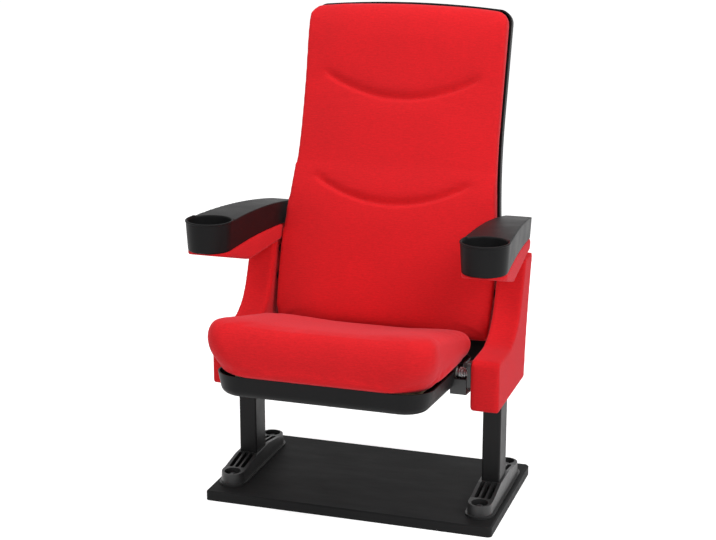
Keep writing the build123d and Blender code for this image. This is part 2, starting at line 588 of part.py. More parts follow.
# ---- hinge ----------------------------------------------------------------------------------------
def stop_places():
    """Y and Z of the lower and the upper buffer, from the pivot, where the seat arm meets them."""
    off_face = CRADLE_HALF + BUFFER / 2 + RUN
    down = turned(off_face, -STOP_DOWN_DROP, SEAT_PITCH)
    up = turned(-off_face, -STOP_UP_REACH, SEAT_PITCH + SEAT_TRAVEL)
    return [(PIVOT_Y + y, PIVOT_Z + z) for y, z in (down, up)]


def hinge_block():
    """The fixed casting: a flange on the panel with two stop pegs, and a spigot to the stanchion plate."""
    rounds = [Pos(PIVOT_Y, PIVOT_Z) * Circle(BLOCK_DISC / 2)]
    for y, z in stop_places() + block_bolt_places():
        rounds.append(Pos(y, z) * Circle(BLOCK_LOBE / 2))
    shape = make_hull([edge for circle in rounds for edge in circle.edges()])
    casting = side(shape, FLANGE_IN, PANEL_IN) + rod(PANEL_IN, LEG_OUT, SPIGOT, PIVOT_Y, PIVOT_Z)
    for y, z in stop_places():
        casting += rod(PEG_IN, FLANGE_IN, PEG, y, z)
    casting -= rod(FLANGE_IN - 1, LEG_OUT + 1, SHAFT, PIVOT_Y, PIVOT_Z)
    for y, z in block_bolt_places():
        casting -= rod(FLANGE_IN - 1, PANEL_IN + 1, BLOCK_BOLT + 2 * FIT, y, z)
        casting -= rod(FLANGE_IN - 1, FLANGE_IN + BLOCK_BOLT_HEAD_HIGH, BLOCK_BOLT_HEAD + 2 * FIT, y, z)
        casting -= rod(PANEL_IN, LEG_OUT + 1, BLOCK_BOLT + 2 * FIT, y, z)
    return casting


def stop_buffers():
    return [rod(PEG_IN, FLANGE_IN, BUFFER, y, z) - rod(PEG_IN - 1, FLANGE_IN + 1, PEG, y, z)
            for y, z in stop_places()]


def block_bolts():
    bolts = []
    for y, z in block_bolt_places():
        head = rod(FLANGE_IN, FLANGE_IN + BLOCK_BOLT_HEAD_HIGH, BLOCK_BOLT_HEAD, y, z)
        bolts.append(head + rod(FLANGE_IN, PLATE_OUT, BLOCK_BOLT, y, z))
    return bolts


def pivot_shaft():
    return rod(SHAFT_IN, PLATE_OUT, SHAFT, PIVOT_Y, PIVOT_Z)


def shaft_nut():
    """A hexagon nut and its washer, on the shaft's end under the seat."""
    washer_x = COLLAR_IN - RUN - WASHER_THICK
    nut = side(RegularPolygon(NUT_ACROSS / 2, 6, major_radius=False), washer_x - NUT_THICK, washer_x)
    washer = rod(washer_x, washer_x + WASHER_THICK, WASHER)
    whole = nut + washer - rod(SHAFT_IN - 9, COLLAR_IN, SHAFT)
    return Pos(0, PIVOT_Y, PIVOT_Z) * whole


def biarc(start, start_way, end, end_way):
    """Two arcs that leave start and reach end in the given directions."""
    span = end - start
    both = start_way + end_way
    turn = 2 * (1 - start_way.dot(end_way))
    reach = span.dot(both)
    length = (math.sqrt(reach * reach + turn * span.dot(span)) - reach) / turn
    middle = (start + start_way * length + end - end_way * length) * 0.5
    first = TangentArc(start, middle, tangent=start_way)
    second = TangentArc(middle, end, tangent=first % 1)
    return [first, second]


def spring_path():
    """A coil about the pivot, whose ends bend to lie along it. Each quarter turn is a biarc."""
    radius = SPRING_MEAN / 2
    first_x = COLLAR_IN + COLLAR_WIDE + RUN
    coil_in = first_x + SPRING_WIRE + SPRING_BEND
    coil_out = FLANGE_IN - SPRING_WIRE - SPRING_BEND
    steps = SPRING_TURNS * 4
    bend_angle = SPRING_BEND / radius
    climb = (coil_out - coil_in) / (steps * math.pi / 2)

    def place(x, angle):
        return Vector(x, radius * math.cos(angle), radius * math.sin(angle))

    def way(angle):
        return Vector(climb, -radius * math.sin(angle), radius * math.cos(angle)).normalized()

    along = Vector(1, 0, 0)
    start = place(first_x + SPRING_WIRE, -bend_angle)
    pieces = [Line(start - along * SPRING_WIRE, start)]
    pieces += biarc(start, along, place(coil_in, 0), way(0))
    for step in range(steps):
        low, high = step * math.pi / 2, (step + 1) * math.pi / 2
        pieces += biarc(place(coil_in + climb * low, low), way(low),
                        place(coil_in + climb * high, high), way(high))
    last = steps * math.pi / 2
    end = place(FLANGE_IN - SPRING_WIRE, last + bend_angle)
    pieces += biarc(place(coil_out, last), way(last), end, along)
    pieces.append(Line(end, end + along * SPRING_WIRE))
    return Wire([edge for piece in pieces for edge in piece.edges()])


def least_gap(path, wire, samples=900):
    """The least clear distance between stretches of a wire that are over half a coil apart."""
    points = [path @ (index / samples) for index in range(samples + 1)]
    apart = int(samples * math.pi * SPRING_MEAN / 2 / path.length)
    gaps = [(points[i] - points[j]).length
            for i in range(len(points)) for j in range(i + apart, len(points))]
    return min(gaps) - wire


def return_spring():
    path = spring_path()
    print("spring: least gap to itself", round(least_gap(path, SPRING_WIRE), 2), "mm")
    coil = sweep(Plane(path @ 0, z_dir=path % 0) * Circle(SPRING_WIRE / 2), path)
    print("spring: volume over section times length",
          round(coil.volume / (path.length * math.pi * SPRING_WIRE**2 / 4), 4))
    return Pos(0, PIVOT_Y, PIVOT_Z) * coil


def seat_arm():
    """The seat's cast arm: a flange under the board, the collar, and a cradle under the spring."""
    board_under = BOARD_TOP - BOARD_THICK
    flange_low = board_under - SEAT_FLANGE_THICK
    collar_out = COLLAR_IN + COLLAR_WIDE
    arm = block(SEAT_FLANGE_IN, COLLAR_IN, -SEAT_FLANGE_HALF, SEAT_FLANGE_HALF, flange_low, board_under)
    arm = fillet(arm.edges().filter_by(Axis.Z).group_by(Axis.X)[0], SEAT_FLANGE_CORNER)
    cradle = block(COLLAR_IN, CRADLE_OUT, -CRADLE_HALF, CRADLE_HALF, CRADLE_LOW, CRADLE_HIGH)
    cradle = fillet(cradle.edges().filter_by(Axis.X).group_by(Axis.Z)[0], CRADLE_CORNER)
    cradle -= rod(collar_out, CRADLE_OUT + 1, CRADLE_ROOM)
    arm += cradle + rod(COLLAR_IN, collar_out, COLLAR)
    arm -= rod(COLLAR_IN - 1, collar_out + 1, SHAFT + 2 * RUN + 2 * BUSH_WALL)
    arm -= rod(SHAFT_IN - 2, COLLAR_IN, NUT_ROOM)
    for x, y in seat_arm_screw_places():
        arm -= post(flange_low - 1, board_under + 1, SCREW_SHANK + 2 * FIT, x, y)
    return arm


def seat_arm_screw_places():
    reach = SEAT_FLANGE_HALF - SEAT_SCREW_EDGE
    return [(x, y) for x in (SEAT_FLANGE_IN + SEAT_SCREW_EDGE, BOARD_HALF - SEAT_SCREW_EDGE)
            for y in (-reach, reach)]


def seat_arm_screws():
    head_top = BOARD_TOP - BOARD_THICK - SEAT_FLANGE_THICK
    return [post(head_top - SCREW_HEAD_HIGH, head_top, SCREW_HEAD, x, y)
            + post(head_top, BOARD_TOP - SCREW_SHORT, SCREW_SHANK, x, y)
            for x, y in seat_arm_screw_places()]


def pivot_bush():
    bore = SHAFT + 2 * RUN
    bush = rod(COLLAR_IN, COLLAR_IN + COLLAR_WIDE, bore + 2 * BUSH_WALL)
    return bush - rod(COLLAR_IN - 1, CRADLE_OUT, bore)


# ---- seat -----------------------------------------------------------------------------------------
def seat_board():
    board = slab(pad(BOARD_HALF, BOARD_FRONT, BOARD_REAR, BOARD_CORNER, BOARD_CORNER / 2),
                 BOARD_TOP - BOARD_THICK, BOARD_TOP)
    under = BOARD_TOP - BOARD_THICK - 1
    for x, y in seat_arm_screw_places():
        board -= post(under, BOARD_TOP - SCREW_SHORT, SCREW_SHANK, x, y)
        board -= post(under, BOARD_TOP - SCREW_SHORT, SCREW_SHANK, -x, y)
    for x, y in PAN_SCREWS:
        board -= post(under, BOARD_TOP - SCREW_SHORT, SCREW_SHANK, x, y)
    return board


def fan_plane(share):
    """One of the planes that fan out from a line behind the seat, as a share of the fan's angle."""
    angle = math.radians(FAN_ANGLE * share)
    upward = (0, math.sin(angle), math.cos(angle))
    return Plane(origin=(0, FAN_AXIS, BOARD_TOP), x_dir=(1, 0, 0), z_dir=upward)


def cushion_side_view():
    """The space under the cushion's crowned top, in Y and Z, a little longer than the cushion."""
    top = fan_plane(1)
    _, _, front, rear, _ = CUSHION_LAYERS[0]
    reaches = (rear - CUSHION_OVER, front + CUSHION_OVER)
    ends = [(top * Pos(0, -reach, -CUSHION_CROWN)).position for reach in reaches]
    low, high = [(end.Y, end.Z) for end in ends]
    middle = (top * Pos(0, -(front + rear) / 2)).position
    crown = ThreePointArc(low, (middle.Y, middle.Z), high)
    under = Polyline(high, (high[0], -1), (low[0], -1), low)
    return make_face(Wire(crown.edges() + under.edges()))


def seat_cushion():
    """Foam that thickens to the front, in layers fanned about a line behind the seat."""
    layers = []
    for share, drawn, front, rear, corner in CUSHION_LAYERS:
        shape = pad(CUSHION_HALF - drawn, -front, -rear, corner, CUSHION_REAR_CORNER)
        layers.append(fan_plane(share) * shape)
    cushion = loft(layers)
    cushion &= side(cushion_side_view(), -PANEL_IN, PANEL_IN)
    cushion = fillet(cushion.faces().sort_by(Axis.Z)[-1].edges(), CUSHION_EDGE)
    for end in (-1, 1):
        x0, x1 = sorted((end * NOTCH_IN, end * PANEL_IN))
        cushion -= rod(x0, x1, RELIEF)
    return cushion


def seat_pan():
    def bowl(wall):
        corners = (PAN_CORNER - wall, PAN_REAR_CORNER - wall)
        shape = pad(PAN_HALF - wall, PAN_FRONT + wall, PAN_REAR - wall, *corners)
        deep = PAN_RIM + PAN_DEEP - wall
        solid = extrude(Plane.XY.offset(PAN_RIM) * shape, -deep, taper=PAN_DRAFT)
        solid = fillet(solid.edges().group_by(Axis.Z)[0], PAN_ROUND - wall)
        for end in (-1, 1):
            near, far = end * (NOTCH_IN - wall), end * (PAN_HALF + 10)
            solid -= block(min(near, far), max(near, far), -NOTCH_HALF - wall, NOTCH_HALF + wall, -99, 99)
        return solid

    pan = bowl(0) - bowl(PAN_WALL)
    floor = -PAN_DEEP
    for x, y in PAN_SCREWS:
        pan += post(floor + PAN_WALL / 2, BOARD_TOP - BOARD_THICK, BOSS, x, y)
        pan -= post(floor - 1, BOARD_TOP, SCREW_SHANK + 2 * FIT, x, y)
        pan -= post(floor - 1, floor + SCREW_HEAD_HIGH, SCREW_HEAD + 2 * FIT, x, y)
    for end in (-1, 1):
        x0, x1 = sorted((end * (NOTCH_IN - 2 * PAN_WALL), end * (NOTCH_IN + 1)))
        window_low = BOARD_TOP - BOARD_THICK - SEAT_FLANGE_THICK - 1
        pan -= block(x0, x1, -NOTCH_HALF, NOTCH_HALF, window_low, PAN_RIM + 1)
    return pan


def seat_pan_screws():
    return [post(-PAN_DEEP, -PAN_DEEP + SCREW_HEAD_HIGH, SCREW_HEAD, x, y)
            + post(-PAN_DEEP, BOARD_TOP - SCREW_SHORT, SCREW_SHANK, x, y) for x, y in PAN_SCREWS]


# ---- backrest -------------------------------------------------------------------------------------
def facing(face, front, rear):
    """The prism over a sketch drawn in X and Z, from front to rear along Y."""
    return between(face, Plane.XZ, -rear, -front)


def back_side(end, inset, top):
    """One side edge of the back, from its foot to a height: out, in again, then straight up."""
    foot, wide, narrow, straight = [end * (half - inset) for half in
                                    (BACK_FOOT_HALF, BACK_WIDE_HALF, BACK_NECK_HALF, BACK_TOP_HALF)]
    low = ThreePointArc((foot, inset), (wide, BACK_WIDE_Z), (narrow, BACK_NECK_Z))
    lean = math.atan2(abs((low % 1).X), (low % 1).Y)
    straight_z = BACK_NECK_Z + abs(narrow - straight) / math.tan(lean / 2)
    neck = TangentArc((narrow, BACK_NECK_Z), (straight, straight_z), tangent=low % 1)
    return [low, neck, Line(neck @ 1, (straight, top))]


def back_outline(inset, high):
    """The back from the front: sides that draw in above the arms, and an arched top."""
    corner = BACK_TOP_CORNER - inset
    shoulder = high - inset - BACK_ARCH
    half = BACK_TOP_HALF - inset
    pieces = []
    for end in (1, -1):
        pieces += back_side(end, inset, shoulder - corner)
        pieces.append(ThreePointArc((end * half, shoulder - corner),
                                    (end * (half - corner * ARC_MIDDLE), shoulder - corner * ARC_MIDDLE),
                                    (end * (half - corner), shoulder)))
    pieces.append(ThreePointArc((half - corner, shoulder), (0, high - inset), (corner - half, shoulder)))
    pieces.append(Line((BACK_FOOT_HALF - inset, inset), (inset - BACK_FOOT_HALF, inset)))
    return make_face(Wire([piece.edge() for piece in pieces]))


def back_half(height):
    """Half the back's width at a height along the board."""
    strip = back_outline(0, BACK_HIGH) & Pos(0, height) * Rectangle(3 * BACK_WIDE_HALF, THIN)
    return strip.bounding_box().max.X


def back_section(height, extra):
    """A level cut through the foam: a flat rear, drawn-in sides and a crowned front."""
    half = back_half(max(min(height, BACK_STATIONS[-3][0]), 1))
    deep = BACK_FOAM + extra
    front_half = half - BACK_EDGE
    shoulder = deep - BACK_CROWN
    turn = ARC_MIDDLE * BACK_EDGE
    edges = [Line((BACK_SIDE_IN - half, 0), (half - BACK_SIDE_IN, 0))]
    for end in (1, -1):
        edges.append(ThreePointArc((end * (half - BACK_SIDE_IN), 0), (end * half, -shoulder / 2),
                                   (end * half, BACK_EDGE - shoulder)))
        edges.append(ThreePointArc((end * half, BACK_EDGE - shoulder),
                                   (end * (half - turn), turn - shoulder), (end * front_half, -shoulder)))
    edges.append(ThreePointArc((front_half, -shoulder), (0, -deep), (-front_half, -shoulder)))
    return Pos(0, 0, height) * make_face(Wire([edge.edge() for edge in edges]))


def foam_extra(height):
    """Foam thickness beyond BACK_FOAM at a height, between the stations."""
    for (low, first), (high, second) in zip(BACK_STATIONS, BACK_STATIONS[1:]):
        if low <= height <= high:
            return first + (second - first) * (height - low) / (high - low)
    return BACK_STATIONS[-1][1]


def channel(low):
    """The cutter for a sewn channel: a wire that sags in the middle and leaves the foam at its ends."""
    high = low + CHANNEL_SAG
    middle = (0, -(BACK_FOAM + foam_extra(low)) - CHANNEL_WIRE / 2 + CHANNEL_DEEP, low)
    end_y = -(BACK_FOAM + foam_extra(high)) + BACK_CROWN * (CHANNEL_HALF / BACK_TOP_HALF)**2
    end_y -= CHANNEL_WIRE / 2 - 0.5
    path = ThreePointArc((-CHANNEL_HALF, end_y, high), middle, (CHANNEL_HALF, end_y, high))
    return sweep(Plane(path @ 0, z_dir=path % 0) * Circle(CHANNEL_WIRE / 2), path.edge())


def bracket_pocket():
    """Room at the foam's sides for the bracket's plate, the spacer and the bolt's head."""
    rooms = []
    for end in (-1, 1):
        inner = BRACKET_OUT - BACK_BRACKET_THICK - FIT
        x0, x1 = sorted((end * inner, end * PANEL_IN))
        rooms.append(block(x0, x1, BACK_BRACKET_FRONT - FIT, 1,
                           BACK_BRACKET_LOW - FIT, BACK_BRACKET_HIGH + FIT))
        x0, x1 = sorted((end * (inner - BACK_BOLT_HEAD_HIGH), end * BRACKET_OUT))
        for z in BACK_BOLTS:
            rooms.append(rod(x0, x1, BACK_BOLT_HEAD + 2 * FIT, BACK_BOLT_Y, z))
    return rooms


def foam_front():
    """A face wider than the foam, with the foam's arched top and round top corners."""
    wide = BACK_WIDE_HALF + 10
    over = BACK_TOP_HALF + FOAM_CORNER_OVER
    shoulder = FOAM_HIGH - BACK_ARCH
    straight_z = BACK_STATIONS[-5][0]
    arch = ThreePointArc((-over, shoulder), (0, FOAM_HIGH), (over, shoulder))
    rest = Polyline((over, shoulder), (over, straight_z + wide - over), (wide, straight_z), (wide, -1),
                    (-wide, -1), (-wide, straight_z), (-over, straight_z + wide - over), (-over, shoulder))
    face = make_face(Wire(arch.edges() + rest.edges()))
    return fillet(face.vertices().group_by(Axis.Y)[-1], BACK_TOP_CORNER + FOAM_CORNER_OVER)


def back_cushion():
    foam = loft([back_section(*station) for station in BACK_STATIONS])
    foam &= facing(foam_front(), -2 * BACK_FOAM, 1)
    for low in CHANNELS:
        foam -= channel(low)
    for room in bracket_pocket():
        foam -= room
    return foam


def back_board():
    board = facing(back_outline(BACK_BOARD_INSET, FOAM_HIGH), 0, BACK_BOARD_THICK)
    for x, z in BACK_SCREWS:
        hole = slab(Circle(SCREW_SHANK / 2), SCREW_SHORT, BACK_BOARD_THICK + 1)
        board -= Pos(x, 0, z) * Rot(X=-90) * hole
    return board


def back_tail():
    """The shell's rear wall below the board, which closes the gap behind the seat."""
    half = BACK_FOOT_HALF - BACK_TAIL_IN
    root = BACK_SHELL_ROUND + BACK_SHELL_WALL
    corners = [(-half, root), (-half, -BACK_TAIL), (half, -BACK_TAIL), (half, root)]
    radii = [0, BACK_TAIL_CORNER, BACK_TAIL_CORNER, 0]
    face = make_face(FilletPolyline(*corners, radius=radii, close=True))
    return facing(face, BACK_SHELL - BACK_SHELL_WALL, BACK_SHELL)


def back_shell():
    """The black rear cover, a tray around the board with a tail below and posts for its screws."""
    def rounded(inset, front):
        solid = facing(back_outline(inset, BACK_HIGH), front, BACK_SHELL - inset)
        return fillet(solid.faces().sort_by(Axis.Y)[-1].edges(), BACK_SHELL_ROUND - inset)

    tray = rounded(0, 0) + back_tail() - rounded(BACK_SHELL_WALL, -1)
    for x, z in BACK_SCREWS:
        turn = Pos(x, 0, z) * Rot(X=-90)
        tray += turn * slab(Circle(BOSS / 2), BACK_BOARD_THICK, BACK_SHELL - BACK_SHELL_WALL / 2)
        tray -= turn * slab(Circle(SCREW_SHANK / 2 + FIT), BACK_BOARD_THICK - 1, BACK_SHELL + 1)
        tray -= turn * slab(Circle(SCREW_HEAD / 2 + FIT), BACK_SHELL - SCREW_HEAD_HIGH, BACK_SHELL + 1)
    return tray


def back_screws():
    screws = []
    for x, z in BACK_SCREWS:
        head = slab(Circle(SCREW_HEAD / 2), BACK_SHELL - SCREW_HEAD_HIGH, BACK_SHELL)
        shank = slab(Circle(SCREW_SHANK / 2), SCREW_SHORT, BACK_SHELL - SCREW_HEAD_HIGH)
        screws.append(Pos(x, 0, z) * Rot(X=-90) * (head + shank))
    return screws


def back_bracket():
    """A steel angle: one leg on the board's rear, the other along the foam's side."""
    inner = BRACKET_OUT - BACK_BRACKET_THICK
    rear = BACK_BOARD_THICK + BACK_BRACKET_THICK
    bracket = block(inner, BRACKET_OUT, BACK_BRACKET_FRONT, rear, BACK_BRACKET_LOW, BACK_BRACKET_HIGH)
    bracket += block(BRACKET_OUT - BACK_BRACKET_REACH, inner, BACK_BOARD_THICK, rear,
                     BACK_BRACKET_LOW, BACK_BRACKET_HIGH)
    for z in BACK_BOLTS:
        bracket -= rod(inner - 1, BRACKET_OUT + 1, BACK_BOLT + 2 * FIT, BACK_BOLT_Y, z)
    return bracket


def back_spacers():
    spacers = []
    for y, z in back_bolt_places():
        hole = rod(BRACKET_OUT - 1, LEG_OUT + 1, BACK_BOLT + 2 * FIT, y, z)
        spacers.append(rod(BRACKET_OUT, LEG_OUT, SPACER, y, z) - hole)
    return spacers


def back_bolts():
    inner = BRACKET_OUT - BACK_BRACKET_THICK
    bolts = []
    for y, z in back_bolt_places():
        head = rod(inner - BACK_BOLT_HEAD_HIGH, inner, BACK_BOLT_HEAD, y, z)
        bolts.append(head + rod(inner, PLATE_OUT, BACK_BOLT, y, z))
    return bolts


# ---- the whole seat -------------------------------------------------------------------------------
# Pieces of the right side that have a mirror image on the left, by the frame they are drawn in.
SIDE_PIECES = {
    "foot": foot, "leg": leg, "stanchion_plate": stanchion_plate, "panel_outer": panel_outer,
    "panel_inner": panel_inner, "panel_screws": panel_screws, "arm_plate": arm_plate, "arm_body": arm_body,
    "armrest": armrest, "armrest_screws": armrest_screws, "hinge_block": hinge_block,
    "hinge_block_bolts": block_bolts, "stop_buffers": stop_buffers, "pivot_shaft": pivot_shaft,
    "shaft_nut": shaft_nut, "return_spring": return_spring, "back_spacers": back_spacers,
    "back_bolts": back_bolts,
}
SEAT_SIDE_PIECES = {"seat_arm": seat_arm, "seat_arm_screws": seat_arm_screws, "pivot_bush": pivot_bush}
SEAT_PIECES = {"seat_cushion": seat_cushion, "seat_board": seat_board, "seat_pan": seat_pan,
               "seat_pan_screws": seat_pan_screws}
BACK_SIDE_PIECES = {"back_bracket": back_bracket}
BACK_PIECES = {"back_cushion": back_cushion, "back_board": back_board, "back_shell": back_shell,
               "back_shell_screws": back_screws}
BASE_PIECES = {"base_plate": base_plate, "foot_bolts": foot_bolts}


def solids(shape):
    """A flat list of solids, from one shape or a list of them."""
    pieces = shape if isinstance(shape, list) else [shape]
    return [solid for piece in pieces for solid in piece.solids()]


def write(name, pieces):
    group = pieces[0] if len(pieces) == 1 else Compound(children=pieces)
    group.label = name
    export_step(group, os.path.join("parts", name + ".step"))


def write_all(makers, frame, both_sides):
    for name, maker in makers.items():
        pieces = [frame * piece for piece in solids(maker())]
        if both_sides:
            write("left_" + name, [mirror(piece, about=Plane.YZ) for piece in pieces])
            write("right_" + name, pieces)
        else:
            write(name, pieces)


HERE = Pos(0, 0, 0)
write_all(BASE_PIECES, HERE, False)
write_all(SIDE_PIECES, HERE, True)
write_all(SEAT_PIECES, SEAT_FRAME, False)
write_all(SEAT_SIDE_PIECES, SEAT_FRAME, True)
write_all(BACK_PIECES, BACK_FRAME, False)
write_all(BACK_SIDE_PIECES, BACK_FRAME, True)
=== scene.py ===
import json
import math

import bmesh
import bpy
import numpy as np
from mathutils import Matrix, Vector
from mathutils.bvhtree import BVHTree


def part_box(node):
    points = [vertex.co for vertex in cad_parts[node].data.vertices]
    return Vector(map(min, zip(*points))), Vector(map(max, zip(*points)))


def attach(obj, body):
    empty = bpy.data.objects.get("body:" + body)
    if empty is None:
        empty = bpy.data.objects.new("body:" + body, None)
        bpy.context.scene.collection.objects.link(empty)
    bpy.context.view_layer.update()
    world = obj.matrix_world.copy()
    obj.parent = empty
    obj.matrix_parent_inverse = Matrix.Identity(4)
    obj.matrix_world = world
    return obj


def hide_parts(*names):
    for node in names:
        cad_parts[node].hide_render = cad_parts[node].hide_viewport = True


# A tip-up cinema seat on its display base: red upholstery, black moulded arms with cup holders, steel legs
# in cast feet. Blender lengths are metres. Numbers that end in _MM are millimetres in the seat's drawing.

bl_info = {
    "name": "Cinema seat",
    "version": (1, 0, 0),
    "blender": (4, 5, 0),
    "location": "3D View > Sidebar > Cinema seat",
    "description": "Dresses the frame of a tip-up cinema seat and sets its stage",
    "category": "Object",
}

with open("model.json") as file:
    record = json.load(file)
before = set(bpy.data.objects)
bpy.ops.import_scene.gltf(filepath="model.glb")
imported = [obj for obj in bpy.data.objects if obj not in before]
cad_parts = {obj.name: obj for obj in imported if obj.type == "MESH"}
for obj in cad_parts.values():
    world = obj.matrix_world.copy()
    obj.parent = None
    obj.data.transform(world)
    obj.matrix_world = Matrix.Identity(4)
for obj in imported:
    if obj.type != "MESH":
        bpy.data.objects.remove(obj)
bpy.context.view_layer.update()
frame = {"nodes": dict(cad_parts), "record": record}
NODES = frame["nodes"]
MM = 0.001
CLOTH_MAP = "cloth"


# ---- places -----------------------------------------------------------------------------------------
def corners(node):
    """A node's lowest and highest corners, in millimetres."""
    low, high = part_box(node)
    return low / MM, high / MM


def tilted(y_mm, z_mm, degrees):
    """The place of a part that is tilted about X, from its origin."""
    return Matrix.Translation((0, y_mm * MM, z_mm * MM)) @ Matrix.Rotation(math.radians(degrees), 4, "X")


PANEL_LOW_MM, PANEL_HIGH_MM = corners("right_panel_inner")
PANEL_OUTER_X_MM = corners("right_panel_outer")[1].x
LEG_X_MM = sum(corner.x for corner in corners("right_leg")) / 2
SEAT_PLACE = tilted(y_mm=-105, z_mm=325, degrees=-4.8)
BACK_PLACE = tilted(y_mm=103, z_mm=332, degrees=-16.4)

# the right side panel: Y of its corners, the Y and Z of its rear's middle, its shelf's height, and its radii
PANEL_FRONT_MM = -133.0
PANEL_NECK_MM = 34.0
PANEL_TOP_FRONT_MM = 100.0
PANEL_TOP_REAR_MM = 168.0
PANEL_REAR_MIDDLE_MM = (136.0, 400.0)
PANEL_FOOT_REAR_MM = 114.5
PANEL_SHELF_MM = 362.0
PANEL_TOE_RADIUS_MM = 5.0
PANEL_SWEEP_RADIUS_MM = 118.0
PANEL_NOSE_RADIUS_MM = 14.0
PANEL_CELL_MM = 4.5

# the right armrest. Its top and its join to the body under it are level in front and fall to the rear.
CUP_OFF_LEG_MM = 14.5
CUP_X_MM = LEG_X_MM + CUP_OFF_LEG_MM
CUP_Y_MM = -183.5
CUP_TOP_MM = 49.5
CUP_FOOT_MM = 46.0
CUP_WALL_MM = 3.0
CUP_SIDES = 72
ARM_TOP_MM = 631.0
ARM_TOP_REAR_MM = 592.0
ARM_JOIN_MM = 570.0
ARM_JOIN_REAR_MM = 545.0
ARM_LEVEL_MM = -135.0
ARM_REAR_MM = 208.0
ARM_FLARE_MM = 37.0
ARM_OUTER_RADIUS_MM = 6.0
ARM_INNER_RADIUS_MM = 14.0
ARM_DRAFT_MM = 3.5
ARM_CELL_MM = 1.5
ARM_OUT_MM = 0.5
BEAD_MM = 2.3
BEAD_IN_MM = 0.6
BEAD_UP_MM = 0.3
BEAD_END_MM = 26.0
BEAD_RINGS = 121

# the padded body under the armrest
BODY_UNDER_MM = PANEL_HIGH_MM.z
BODY_IN_MM = 4.0
BODY_ENDS_IN_MM = 2.0
BODY_KNEE_MM = -70.0
BODY_KNEE_RADIUS_MM = 110.0
BODY_REAR_RADIUS_MM = 20.0
BODY_CELL_MM = 3.5

# a block that cuts the arm to its side view: its X from and to, and how far it reaches past the arm
SIDE_VIEW_MM = (200.0, 400.0)
PAST_MM = 1.0

# the covers. While they swell, the seat's foot, the back's rear and sides, and its channels are held.
COVER_MM = 1.4
SWELL_FRAMES = 20
SEAT_HELD_MM = 20.0
BACK_HELD_REAR_MM = 6.0
BACK_HELD_SIDE_MM = 8.0
CHANNEL_HELD_MM = 4.0

# where the rise of the seat's sides starts and is complete: from the middle, from the hinge, and upwards
RISE_ACROSS_MM = (60.0, 190.0)
RISE_ALONG_MM = (-300.0, -200.0)
RISE_UP_MM = (24.0, 80.0)

# the back's sewn channels: the lowest point of each along the board, half length, sag and fade at the
# ends, and the widths of their soft upper slope and sharp lower one. They only press foam that stands
# further from the board than the front's measure.
CHANNELS_MM = (279.0, 514.0)
CHANNEL_HALF_MM = 183.0
CHANNEL_SAG_MM = 54.0
CHANNEL_PAST_MM = 6.0
CHANNEL_FADE_MM = 40.0
CHANNEL_ABOVE_MM = 13.0
CHANNEL_BELOW_MM = 3.5
CHANNEL_FRONT_MM = 30.0
CHANNEL_STITCH_POINTS = 90

# the back's foam, from its board forwards
BACK_TOP_MM = 728.0
BACK_EVEN_MM = 690.0
BACK_CORNER_MM = 28.0
BACK_CROWN_MM = 9.0
BACK_ARCH_MM = 9.0
BACK_ARCH_FROM_MM = 600.0
BACK_SIDE_IN_MM = 5.0
# height along the back's board, half the foam's width there
BACK_HALVES_MM = (
    (0, 241), (30, 245), (75, 248), (122, 249), (165, 248), (205, 245.5), (240, 242.5), (290, 237),
    (340, 232.5), (390, 229.5), (440, 228), (728, 228),
)
# height along the back's board, thickness of the foam's middle there
BACK_DEPTHS_MM = (
    (0, 44), (14, 55), (54, 58), (132, 58), (200, 60), (263, 62), (304, 62), (367, 52), (429, 50),
    (492, 49), (555, 50), (659, 58), (700, 56), (716, 50), (728, 42),
)


# ---- sizes and colours that can be changed ----------------------------------------------------------
class UpholsterySizes(bpy.types.PropertyGroup):
    """Sizes of the padding and its cover."""

    cell: bpy.props.FloatProperty(
        name="Mesh cell", description="Size of the mesh cells that the padding is made of",
        default=7 * MM, min=3 * MM, max=12 * MM, unit="LENGTH")
    pressure: bpy.props.FloatProperty(
        name="Pressure", description="Pressure that swells the padding inside its cover",
        default=4.0, min=0.0)
    swell_seat: bpy.props.FloatProperty(
        name="Seat swell", description="Furthest that the seat's cover may move",
        default=4 * MM, unit="LENGTH")
    swell_back: bpy.props.FloatProperty(
        name="Back swell", description="Furthest that the back's cover may move",
        default=4 * MM, unit="LENGTH")
    lift: bpy.props.FloatProperty(
        name="Seat sides", description="How far the sides of the seat's top rise over its middle",
        default=7 * MM, unit="LENGTH")
    channel_deep: bpy.props.FloatProperty(
        name="Channel depth", description="Depth of the back's two sewn channels",
        default=7 * MM, unit="LENGTH")
    stitch_spacing: bpy.props.FloatProperty(
        name="Stitch spacing", description="From one stitch to the next", default=5.5 * MM, unit="LENGTH")
    stitch_long: bpy.props.FloatProperty(
        name="Stitch length", description="Length of thread that shows in a stitch",
        default=4.2 * MM, unit="LENGTH")
    stitch_thick: bpy.props.FloatProperty(
        name="Stitch thickness", description="Thickness of the sewing thread",
        default=1.0 * MM, unit="LENGTH")
    thread: bpy.props.FloatProperty(
        name="Thread pitch", description="Spacing of the threads in the cover's weave",
        default=1.5 * MM, unit="LENGTH")


